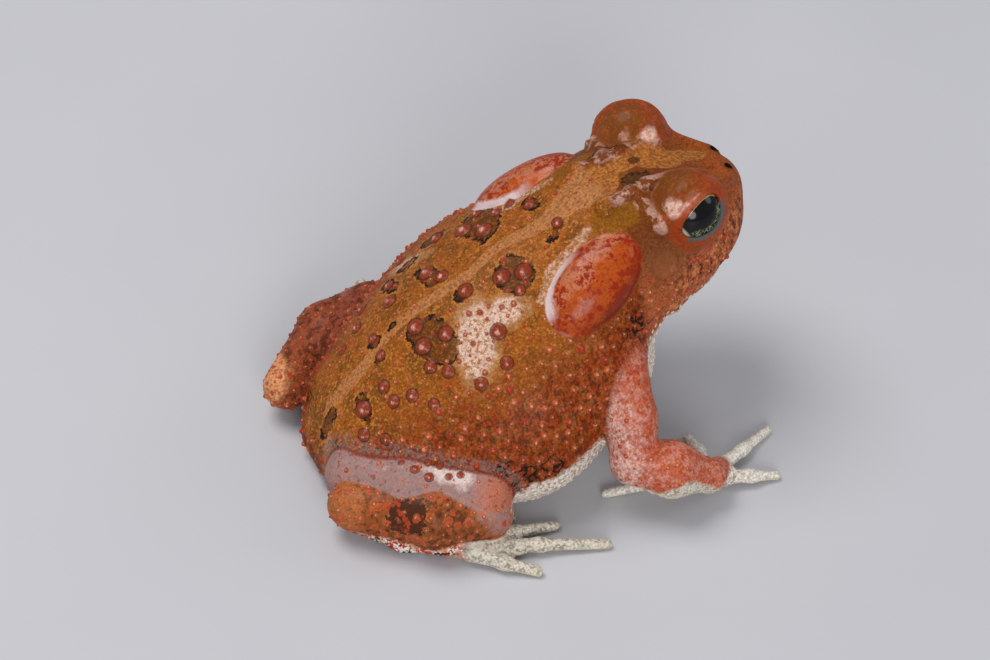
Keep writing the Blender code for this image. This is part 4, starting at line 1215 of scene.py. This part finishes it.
def dorsum(paint, ragged, granule_tint, small, middle, broad):
    """The trunk: ochre above and red-brown at the sides, with stripe, patches and blotches."""
    mix, read = paint.mix, paint.read
    colour = mix(OCHRE, BACK_OLIVE, (broad + 0.8 * middle).above(0.04, 0.12) * 0.75)
    colour = mix(colour, OCHRE_DARK, (small + 0.3 * middle).above(0.035, 0.09) * 0.75)
    colour = mix(colour, OCHRE_GOLD, (0.16 * granule_tint + small).above(0.15, 0.08) * 0.8)
    streaks = paint.grain(1.0, detail=4.0, roughness=0.68, place=paint.stretched((0.45, 0.45, 1.6)))
    flank = mix(FLANK_BROWN, OCHRE, (middle + 0.4 * small).above(0.02, 0.10) * 0.5)
    flank = mix(flank, TUBERCLE_ORANGE, (0.0 - streaks).above(0.07, 0.06) * 0.35)
    flank = mix(flank, FLANK_DARK, (streaks + 0.5 * small).above(0.035, 0.08) * 0.75)
    back = read("back") + 0.45 * ragged
    colour = mix(flank, colour, back.above(0.66, 0.30))

    # The stripe down the middle, and the pale band behind the gland.
    stripe = read("stripe") + 0.65 * ragged
    tan = mix(STRIPE_TAN, STRIPE_PINK, (0.12 * granule_tint + small).above(0.10, 0.08) * 0.6)
    tan = mix(tan, OCHRE_DARK, small.above(0.06, 0.06) * 0.6)
    colour = mix(colour, tan, stripe.above(0.0, 0.2) * 0.9)
    nape = (read("nape") + 1.0 * ragged).above(0.0, 0.3)
    colour = mix(colour, PATCH_TAN, nape * 0.45)
    colour = mix(colour, PALE_SKIN_AND_HIGHLIGHT, nape * (small + 0.1 * granule_tint).above(0.05, 0.12) * 0.6)

    # The patches: tan skin with a pale painted highlight over its grains.
    patch = read("patch") + 1.6 * ragged
    colour = mix(colour, PATCH_TAN, patch.above(-0.5, 0.6) * 0.55)
    grains = (small + 0.12 * granule_tint).above(0.0, 0.10)
    colour = mix(colour, PALE_SKIN_AND_HIGHLIGHT, patch.above(0.2, 0.5) * grains * 0.95)

    # Dark blotches with a broken black edge and a light line round it.
    blotch = read("blotch") + 1.5 * ragged
    inside = mix(OLIVE_BROWN, OCHRE_DARK, (middle + 0.5 * small).above(0.0, 0.12))
    inside = mix(inside, OCHRE, (small + 0.4 * middle).above(0.06, 0.08) * 0.5)
    colour = mix(colour, inside, blotch.above(0.0, 0.10) * 0.88)
    pieces = (paint.grain(1.5, detail=2.0) + 0.3 * small).above(-0.05, 0.06)
    edge = (0.17 - abs(blotch - 0.14)).above(0.0, 0.08) * pieces
    colour = mix(colour, BROKEN_BLACK, edge * 0.95)
    outline = (0.15 - abs(blotch + 0.18)).above(0.0, 0.12) * pieces
    colour = mix(colour, OCHRE_GOLD, outline * 0.6)

    # Black nets at the flank and the shoulder, and loose red dots.
    wires = (0.12 - paint.cracks(1.25, place=paint.shaken(1.6, 1.1))).above(0.0, 0.08)
    net = wires * (read("net") + 2.2 * ragged).above(0.2, 0.8)
    colour = mix(colour, BROKEN_BLACK, net * 0.92)
    dots, dot_tint = paint.cells(1.15)
    red_dots = (0.19 - dots).above(0.0, 0.09) * dot_tint.above(0.4, 0.1) * (1.0 - patch.above(0.0, 0.5))
    return mix(colour, TUBERCLE_RED, red_dots * 0.75)


def head_colours(paint, colour, ragged, small, middle, broad):
    """The head over the trunk's colour."""
    mix, read = paint.mix, paint.read
    head = read("head") + 0.9 * ragged
    face_low = read("face_low")
    throat = read("throat")
    stripe = read("stripe") + 0.6 * ragged
    rust = mix(HEAD_RUST, SNOUT_RUST, (read("snout") + 6.0 * middle).above(-2.0, 4.0))
    rust = mix(rust, OLIVE, (broad + middle).above(0.06, 0.12) * 0.5)
    rust = mix(rust, CHEEK_RED, (face_low + 3.0 * middle).above(1.6, 3.0))
    rust = mix(rust, OCHRE_DARK, small.above(0.05, 0.08) * 0.6)
    top_of_head = head.above(0.0, 1.2) * (1.0 - stripe.above(0.0, 0.25))
    colour = mix(colour, rust, top_of_head * (1.0 - throat.above(0.5, 1.5)))
    tan = mix(HEAD_OCHRE, OCHRE_GOLD, small.above(0.02, 0.08) * 0.7)
    tan = mix(tan, OCHRE_DARK, (0.0 - small).above(0.03, 0.08) * 0.5)
    colour = mix(colour, tan, head.above(0.0, 1.0) * stripe.above(0.0, 0.25) * 0.9)

    # Orange and purple marks on the cheek and lips, and the cream throat.
    place = paint.stretched((0.8, 0.8, 1.3))
    marks = paint.grain(1.0, detail=5.0, roughness=0.72, place=place)
    on_cheek = face_low.above(2.2, 1.6) * head.above(4.0, 2.5) * (1.0 - throat.above(-0.2, 1.2))
    colour = mix(colour, CHEEK_ORANGE, (0.0 - marks).above(0.05, 0.06) * on_cheek * 0.8)
    colour = mix(colour, PURPLE_DARK, marks.above(0.055, 0.05) * on_cheek * 0.85)
    colour = mix(colour, CREAM, (throat + 2.0 * middle).above(0.8, 1.6) * 0.9)
    colour = mix(colour, OLIVE, (read("olive") + 0.9 * ragged).above(0.2, 0.5) * 0.9)

    # Dark marks of the crown, partly painted shade in the grooves between the crests and the lids, and the
    # ear drum.
    dark = read("head_dark") + 2.0 * ragged
    colour = mix(colour, OLIVE_BROWN, dark.above(0.05, 0.12) * 0.95)
    broken = (0.12 - abs(dark - 0.08)).above(0.0, 0.06) * middle.above(-0.02, 0.06)
    colour = mix(colour, BROKEN_BLACK, broken * 0.8)
    # The ear drum's brown, spread wide round it as painted shade between the gland and the cheek, with a
    # faint darker line at its edge.
    drum = read("drum") + 0.3 * ragged
    colour = mix(colour, DRUM_BROWN_AND_SHADE, (drum + 2.5 * middle).above(-1.4, 3.0) * 0.65)
    colour = mix(colour, OCHRE_DARK, (0.22 - abs(drum)).above(0.0, 0.3) * 0.2)

    # The lids with pink spots of painted highlight, and the crests.
    lid = (read("lid") + 0.25 * ragged).above(0.0, 0.4)
    lid_colour = mix(LID_BROWN, LID_RED, (read("lid_low") + 6.0 * middle).above(-3.2, 1.6))
    lid_colour = mix(lid_colour, OLIVE, (broad - middle).above(0.08, 0.1) * 0.25)
    lid_colour = mix(lid_colour, OCHRE_DARK, (small + 0.5 * middle).above(0.03, 0.08) * 0.6)
    lid_colour = mix(lid_colour, TUBERCLE_ORANGE, (0.0 - small).above(0.09, 0.05) * 0.35)
    colour = mix(colour, lid_colour, lid * (1.0 - face_low.above(1.6, 1.2)))
    pink = (read("lid_pink") + 1.6 * ragged).above(0.0, 0.8) * (0.75 + 3.0 * small)
    colour = mix(colour, LID_HIGHLIGHT_PINK, pink)
    crest = (read("crest") + 0.35 * ragged).above(0.0, 0.3)
    colour = mix(colour, HEAD_RUST, crest * 0.6)
    # Broken pink painted highlight on the crests.
    lit = (paint.grain(1.9, detail=2.0) + 0.4 * small).above(-0.01, 0.10)
    colour = mix(colour, CREST_HIGHLIGHT_PINK, crest * lit * 0.85)

    # The rims of the lids, the nostrils and the mouth.
    rim = read("lid_edge")
    colour = mix(colour, LID_RED, rim.above(0.05, 0.2) * 0.85)
    colour = mix(colour, LID_RIM_GREY, rim.above(0.30, 0.12) * read("lid_low").above(0.8, 0.6))
    # The nostril pits are painted black as painted shade inside them, in a darker rust ring.
    nostril = read("nostril")
    colour = mix(colour, HEAD_RUST, nostril.above(-0.5, 0.4) * 0.8)
    colour = mix(colour, BROKEN_BLACK, nostril.above(-0.12, 0.12))
    return mix(colour, PURPLE_DARK, read("mouth").above(0.14, 0.16) * 0.85)


def gland_colours(paint, colour, on_gland, pit_tint, small, middle, broad):
    """The parotoid glands: orange-red with a broken pink painted highlight along their upper part and a pale
    rim at the rear.
    """
    mix, read = paint.mix, paint.read
    height = read("gland_height")
    gland = mix(GLAND_RED, GLAND_ORANGE, (broad + middle + 0.6 * small).above(0.02, 0.12))
    # A broken band of pink painted highlight along the upper part of the gland.
    band = (0.26 - abs(height - 0.46 - 2.0 * middle)).above(0.0, 0.3)
    gland = mix(gland, GLAND_HIGHLIGHT_PINK, band * (0.08 * pit_tint + small + 0.5 * middle).above(0.03, 0.14) * 0.75)
    gland = mix(gland, FLANK_DARK, (small + 0.6 * middle).above(0.09, 0.10) * 0.35)
    gland = mix(gland, FLANK_DARK, (0.0 - height).above(0.75, 0.3) * 0.45)
    rear = (0.0 - read("gland_along")).above(-0.1, 0.4)
    rim = (0.75 - read("rise") + 0.5 * middle).above(0.0, 0.35) * height.above(0.3, 0.3) * rear
    gland = mix(gland, GLAND_EDGE, rim * 0.85)
    return mix(colour, gland, on_gland)


def arm_colours(paint, colour, ragged, small, middle):
    """The arms: brick red with darker spots, a painted pinkish-white sheen on the rear side and cream below.
    """
    mix, read = paint.mix, paint.read
    spots, spot_tint = paint.cells(1.0, place=paint.shaken(1.3, 0.8))
    arm = mix(ARM_BRICK, ARM_PINK, (middle + 0.6 * small).above(0.0, 0.12) * 0.45)
    # A painted pinkish-white sheen on the rear side of the arm.
    pale = (0.45 * read("arm_rear") + 2.0 * ragged).above(0.3, 1.4)
    arm = mix(arm, ARM_SHEEN, pale * (0.55 + 3.0 * small))
    red = (0.40 - spots).above(0.0, 0.16) * spot_tint.above(0.35, 0.2)
    arm = mix(arm, ARM_RED, red * (1.0 - 0.5 * pale) * 0.55)
    under = (read("arm_low") + 1.4 * ragged).above(0.0, 0.8)
    arm = mix(arm, mix(CREAM, CREAM_GREY, small.above(0.03, 0.08)), under)
    return mix(colour, arm, (read("arm") + 0.8 * ragged).above(0.6, 1.2))


def leg_colours(paint, colour, ragged, small, middle, broad):
    """Thighs and shanks: mauve above, orange-brown below, with a dark band on the shank."""
    mix, read = paint.mix, paint.read
    left = read("left").above(0.0, 1.0)
    thigh = mix(THIGH_MAUVE, THIGH_GREY, (small + 0.8 * middle).above(0.05, 0.10) * 0.6)
    # A pale painted highlight along the top of the near thigh.
    streak = (0.6 * read("streak") + 1.3 * ragged).above(0.35, 0.5)
    thigh = mix(thigh, THIGH_HIGHLIGHT, streak * (0.85 + 2.0 * small))
    thigh = mix(thigh, THIGH_RED, (read("knee") + 2.0 * ragged).above(0.8, 1.6) * 0.8)
    far = mix(LEG_FAR_RED, FLANK_DARK, (middle + 0.4 * small).above(0.03, 0.08) * 0.8)
    thigh = mix(thigh, far, left)
    hip = (read("above_fold") + 1.5 * ragged).above(0.6, 1.0) * small.above(-0.03, 0.08)
    colour = mix(colour, THIGH_GREY, hip * 0.6)
    thigh = mix(thigh, FOLD_RED, (paint.grain(0.8, detail=3.0) + 0.3 * small).above(0.13, 0.05) * 0.6)
    colour = mix(colour, thigh, (read("thigh") + 0.25 * ragged).above(0.05, 0.3))
    colour = mix(colour, FOLD_RED, (read("fold") + 0.3 * small).above(0.45, 0.25) * 0.85)

    # The shank with its red warts, dark band, heel and knee.
    shank = mix(SHANK_ORANGE, SHANK_BROWN, (middle + 0.7 * broad).above(0.0, 0.10) * 0.85)
    shank = mix(shank, FLANK_DARK, (small + 0.5 * middle).above(0.06, 0.08) * 0.75)
    warts, wart_tint = paint.cells(1.15, place=paint.shaken(1.3, 0.8))
    some = wart_tint.above(0.4, 0.15)
    red = (0.34 - warts).above(0.0, 0.14) * some
    shank = mix(shank, CHEEK_ORANGE, (0.46 - warts).above(0.0, 0.14) * some * 0.35)
    shank = mix(shank, SHANK_RED, red * 0.85)
    band = read("band") + 2.8 * ragged
    broken = middle.above(-0.03, 0.06)
    shank = mix(shank, OCHRE_GOLD, band.above(-0.40, 0.15) * broken * 0.7)
    shank = mix(shank, BROKEN_BLACK, band.above(-0.24, 0.10) * broken * 0.85)
    shank = mix(shank, SHANK_DARK, band.above(-0.04, 0.15))
    shank = mix(shank, SHANK_RED, band.above(0.0, 0.2) * red * 0.8)
    shank = mix(shank, far, left * (0.0 - read("heel")).above(0.5, 1.5) * 0.75)
    heel = (read("heel") + 1.4 * ragged).above(0.0, 0.9) * (0.45 + 0.55 * left)
    shank = mix(shank, mix(HEEL_ORANGE, HEEL_PALE, left), heel * (1.0 - red) * (0.9 - 3.0 * small))
    shank = mix(shank, THIGH_MAUVE, (0.7 * read("knee") + 2.2 * ragged).above(0.4, 0.8) * (1.0 - red) * 0.8)
    colour = mix(colour, shank, (read("shank") + 0.3 * ragged).above(0.1, 0.3))
    edge = (read("knee_edge") + 3.0 * ragged).above(0.4, 0.8) * (small + 0.3 * middle).above(-0.01, 0.06)
    return mix(colour, CREAM, edge * 0.9)


def foot_colours(paint, colour, ragged, granule_tint, small, middle, broad):
    """Hands and feet: cream with a grey-brown speckle, the heel end mottled."""
    mix, read = paint.mix, paint.read
    speckle = (0.25 * granule_tint + small).above(0.20, 0.08)
    foot = mix(FOOT_CREAM, FOOT_GREY, speckle * 0.7)
    mottled = mix(SHANK_RED, BROKEN_BLACK, middle.above(0.02, 0.05))
    mottled = mix(mottled, CREAM, (small + 0.5 * ragged).above(0.02, 0.06))
    mottled = mix(mottled, HEEL_ORANGE, (broad + ragged).above(0.08, 0.1) * 0.8)
    foot = mix(mottled, foot, (2.5 * ragged - read("heel")).above(12.5, 2.5))
    colour = mix(colour, foot, (read("foot") + 0.6 * ragged).above(0.1, 0.5))
    hand = mix(HAND_CREAM, FOOT_GREY, speckle * 0.35)
    colour = mix(colour, hand, (read("hand") + 0.8 * ragged).above(2.8, 0.8))
    tips = read("tip").above(0.0, 0.3) * (read("foot").most(read("hand"))).above(4.0, 2.0)
    return mix(colour, TIP_YELLOW, tips * 0.6)


def paint_skin():
    paint = Paint("toad skin")
    mix, read = paint.mix, paint.read
    granule, granule_tint = paint.cells(0.34)
    fine = paint.grain(0.20, detail=2.0)
    small = paint.grain(0.5, detail=3.0, roughness=0.65)
    middle = paint.grain(1.4, detail=3.0, roughness=0.6)
    broad = paint.grain(4.5, detail=2.0)
    ragged = 1.5 * paint.grain(1.6, detail=5.0, roughness=0.72)

    colour = dorsum(paint, ragged, granule_tint, small, middle, broad)
    limb = read("arm").most(read("thigh")).most(read("shank"))
    belly = (read("belly") + 2.2 * ragged).above(0.2, 1.0) * (1.0 - limb.above(0.0, 0.6))
    pale = mix(CREAM, CREAM_GREY, (small + 0.05 * granule_tint).above(0.07, 0.08))
    colour = mix(colour, pale, belly)
    colour = head_colours(paint, colour, ragged, small, middle, broad)
    on_gland = (read("gland") + 0.3 * middle).above(-0.30, 0.15)
    pits, pit_tint = paint.cells(0.7)
    colour = gland_colours(paint, colour, on_gland, pit_tint, small, middle, broad)
    colour = arm_colours(paint, colour, ragged, small, middle)
    colour = leg_colours(paint, colour, ragged, small, middle, broad)
    colour = foot_colours(paint, colour, ragged, granule_tint, small, middle, broad)

    # Large warts with a dark foot and a pink painted highlight set off their middle.
    wart = read("wart")
    ring = (0.13 - abs(wart + 0.05)).above(0.0, 0.12)
    colour = mix(colour, WART_DARK, ring * 0.8)
    colour = mix(colour, WART_MAROON, (wart + 0.4 * fine).above(0.06, 0.15))
    glint = (read("glint") + 1.2 * middle + 0.8 * fine).above(0.4, 0.5) * wart.above(0.05, 0.2)
    colour = mix(colour, WART_HIGHLIGHT_PINK, glint * 0.95)

    # Tubercles, each with its own tint, and a pale painted highlight near the top of some.
    tubercle = read("tubercle")
    tint = read("tint")
    around = (0.45 - abs(tubercle + 0.30)).above(0.0, 0.3) * (1.0 - on_gland)
    colour = mix(colour, HALO, around * (small + 0.05 * granule_tint).above(0.03, 0.08) * 0.3)
    shadow = (0.16 - abs(tubercle + 0.02)).above(0.0, 0.12) * (0.12 + read("patch").above(-0.8, 0.5) * 0.5)
    colour = mix(colour, WART_DARK, shadow)
    red = mix(TUBERCLE_RED, TUBERCLE_ORANGE, (tint + 2.0 * small).above(0.5, 0.5))
    pale_one = belly.most(read("arm_low").above(0.0, 0.6) * read("arm").above(0.0, 0.5))
    red = mix(red, CREAM, pale_one)
    colour = mix(colour, red, (tubercle + 0.3 * fine).above(0.10, 0.2) * 0.92)
    light = (tubercle + 0.8 * fine + 0.5 * small).above(0.72, 0.35) * tint.above(0.25, 0.5)
    colour = mix(colour, TUBERCLE_HIGHLIGHT, light * 0.7)

    # Fine grain, which is weaker on smooth places, and the wet gloss of warts and glands.
    on_thigh = read("thigh").above(0.1, 0.3)
    smooth_place = (read("lid") + 0.1).above(0.0, 0.4) + on_gland + read("drum").above(0.0, 0.2)
    smooth_place = (smooth_place + 0.6 * on_thigh).least(1.0)
    shade = (granule + 0.8 * fine).above(0.52, 0.35)
    colour = mix(colour, FLANK_DARK, shade * (0.32 - 0.28 * smooth_place), blend="MULTIPLY")

    relief = (0.5 - granule) * (0.08 - 0.06 * smooth_place) + 0.03 * fine + 0.07 * small + 0.06 * middle
    relief = relief - (0.3 - pits).above(0.0, 0.25) * 0.05 * on_gland
    wet = on_gland.most(wart.above(0.0, 0.3)).most(tubercle.above(0.2, 0.3))
    wet = (wet + 0.35 * smooth_place + 0.12).least(1.0)
    return paint.finish(colour, 0.55 + 0.3 * middle, relief, Specular_IOR_Level=SKIN_SHEEN,
                        Coat_Weight=SKIN_WET * wet, Coat_Roughness=SKIN_WET_ROUGHNESS)


PUPIL_BLACK = (0.004, 0.004, 0.005)
IRIS_GOLD = (0.52, 0.33, 0.11)
IRIS_PALE = (0.30, 0.34, 0.15)
EYE_WHITE = (0.42, 0.47, 0.33)
EYE_SHEEN = 0.25
EYE_ROUGHNESS = 0.12


def paint_eye():
    """A black eye with a gold thread under the upper lid and pale flecks over the lower one."""
    paint = Paint("toad eye")
    mix = paint.mix
    along, upward, ring = paint.read("along"), paint.read("upward"), paint.read("ring")
    fine = paint.grain(0.18, detail=3.0)
    flecks = (fine + 0.5 * paint.grain(0.7)).above(0.05, 0.08)
    low = (ring + 0.5 * fine).above(0.62, 0.16) * (0.0 - upward).above(0.5, 0.5)
    colour = mix(PUPIL_BLACK, IRIS_PALE, flecks * low * 0.85)
    thread = (0.022 - abs(ring - 0.82)).above(0.0, 0.03) * upward.above(0.3, 0.4) * along.above(-1.4, 0.8)
    colour = mix(colour, IRIS_GOLD, thread)
    colour = mix(colour, EYE_WHITE, (0.0 - along).above(2.8, 0.25) * ring.above(0.7, 0.15))
    return paint.finish(colour, EYE_ROUGHNESS, Specular_IOR_Level=EYE_SHEEN)


FLOOR_DARKER = (0.50, 0.50, 0.53)
FLOOR_LIGHTER = (0.54, 0.54, 0.57)


def paint_floor():
    paint = Paint("pale floor")
    colour = paint.mix(FLOOR_DARKER, FLOOR_LIGHTER, (0.5 + paint.grain(60.0)).above(0.5, 0.6))
    return paint.finish(colour, 0.55 + 0.1 * paint.grain(5.0))


# Pieces.

def shade_smooth(mesh):
    mesh.polygons.foreach_set("use_smooth", np.ones(len(mesh.polygons), bool))


def make_eye(name, side):
    """An eyeball marked along the opening of the lids: ring is 0 in the middle and 1 at their edge."""
    shape = bmesh.new()
    bmesh.ops.create_icosphere(shape, subdivisions=EYE_FINENESS, radius=EYE_RADIUS)
    mesh = bpy.data.meshes.new(name)
    shape.to_mesh(mesh)
    shape.free()
    round_place = read_points(mesh)
    along, upward, outward = (round_place @ eye_axes()).T
    ring = np.where(outward > 0.0, np.hypot(along / EYE_OPENING[0], upward / EYE_OPENING[1]), 9.0)
    write_points(mesh, np.array([head_place(spot, side) for spot in round_place + np.array(EYE_CENTRE)]))
    if side < 0.0:
        mesh.flip_normals()
    add_values(mesh, {"along": along, "upward": upward, "ring": ring})
    shade_smooth(mesh)
    return new_object(name, mesh)


def dress(piece, material, nodes):
    piece.data.materials.clear()
    piece.data.materials.append(material)
    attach(piece, "root")
    if nodes:
        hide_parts(*nodes)


skin = grow_skin()
skin_points = read_points(skin.data)
skin_marks = markings(skin_points)
skin_marks.update(wart_marks(skin_points))
tubercles, near_tubercle = make_tubercles(skin, skin_marks)
skin_marks["tubercle"] = near_tubercle
skin_marks["tint"] = np.full(len(skin_points), 0.5)
add_values(skin.data, skin_marks)
for piece in (skin, tubercles):
    shade_smooth(piece.data)
    to_metres(piece)

FLESH = ["torso", "head"] + [f"{part}_{name}" for name, _ in SIDES for part in
                             ("parotoid", "upper_arm", "forearm", "hand", "thigh", "shank", "foot")]
toad_skin = paint_skin()
dress(skin, toad_skin, FLESH)
dress(tubercles, toad_skin, ())
toad_eye = paint_eye()
for name, side in SIDES:
    eye = make_eye(f"eyeball_{name}", side)
    to_metres(eye)
    dress(eye, toad_eye, (f"eye_{name}",))


# Floor, light and camera.

CAMERA_TARGET = Vector((0.0, 0.0017, 0.012))
CAMERA_AZIMUTH = math.radians(-25.0)
CAMERA_ELEVATION = math.radians(45.0)
CAMERA_DISTANCE = 0.45
CAMERA_LENS = 128.57
CAMERA_SENSOR = 36.0
CAMERA_NEAREST = 0.01
FLOOR_HALF_SIZE = 1.5
# Lights as (name, place, size across, watts, colour), in metres.
LIGHTS = (
    ("overhead light", (-0.20, 0.30, 0.80), 0.55, 4.6, (1.0, 0.985, 0.96)),
    ("front light", (-0.22, -0.75, 0.34), 0.40, 3.4, (1.0, 1.0, 1.0)),
    ("side light", (0.75, -0.20, 0.45), 0.35, 0.8, (0.94, 0.97, 1.0)),
)
SKY_COLOUR = (0.78, 0.81, 0.86, 1.0)
SKY_STRENGTH = 0.42


def make_floor():
    shape = bmesh.new()
    bmesh.ops.create_grid(shape, x_segments=8, y_segments=8, size=FLOOR_HALF_SIZE)
    mesh = bpy.data.meshes.new("floor")
    shape.to_mesh(mesh)
    shape.free()
    floor = new_object("floor", mesh)
    floor.data.materials.append(paint_floor())


def soft_light(name, place, size, watts, colour):
    lamp = bpy.data.lights.new(name, "AREA")
    lamp.shape = "DISK"
    lamp.size = size
    lamp.energy = watts
    lamp.color = colour
    item = bpy.data.objects.new(name, lamp)
    item.location = place
    item.rotation_mode = "QUATERNION"
    item.rotation_quaternion = (Vector(place) - CAMERA_TARGET).to_track_quat("Z", "Y")
    bpy.context.scene.collection.objects.link(item)


def make_camera():
    level = math.cos(CAMERA_ELEVATION)
    back = Vector((math.sin(CAMERA_AZIMUTH) * level, -math.cos(CAMERA_AZIMUTH) * level,
                   math.sin(CAMERA_ELEVATION)))
    camera = bpy.data.objects.new("camera", bpy.data.cameras.new("camera"))
    camera.data.lens = CAMERA_LENS
    camera.data.sensor_width = CAMERA_SENSOR
    camera.data.clip_start = CAMERA_NEAREST
    camera.location = CAMERA_TARGET + CAMERA_DISTANCE * back
    camera.rotation_mode = "QUATERNION"
    camera.rotation_quaternion = back.to_track_quat("Z", "Y")
    bpy.context.scene.collection.objects.link(camera)
    bpy.context.scene.camera = camera


def make_sky():
    world = bpy.data.worlds.new("studio")
    world.use_nodes = True
    background = world.node_tree.nodes["Background"]
    background.inputs["Color"].default_value = SKY_COLOUR
    background.inputs["Strength"].default_value = SKY_STRENGTH
    bpy.context.scene.world = world
    bpy.context.scene.view_settings.view_transform = "Standard"


make_floor()
for light in LIGHTS:
    soft_light(*light)
make_sky()
make_camera()
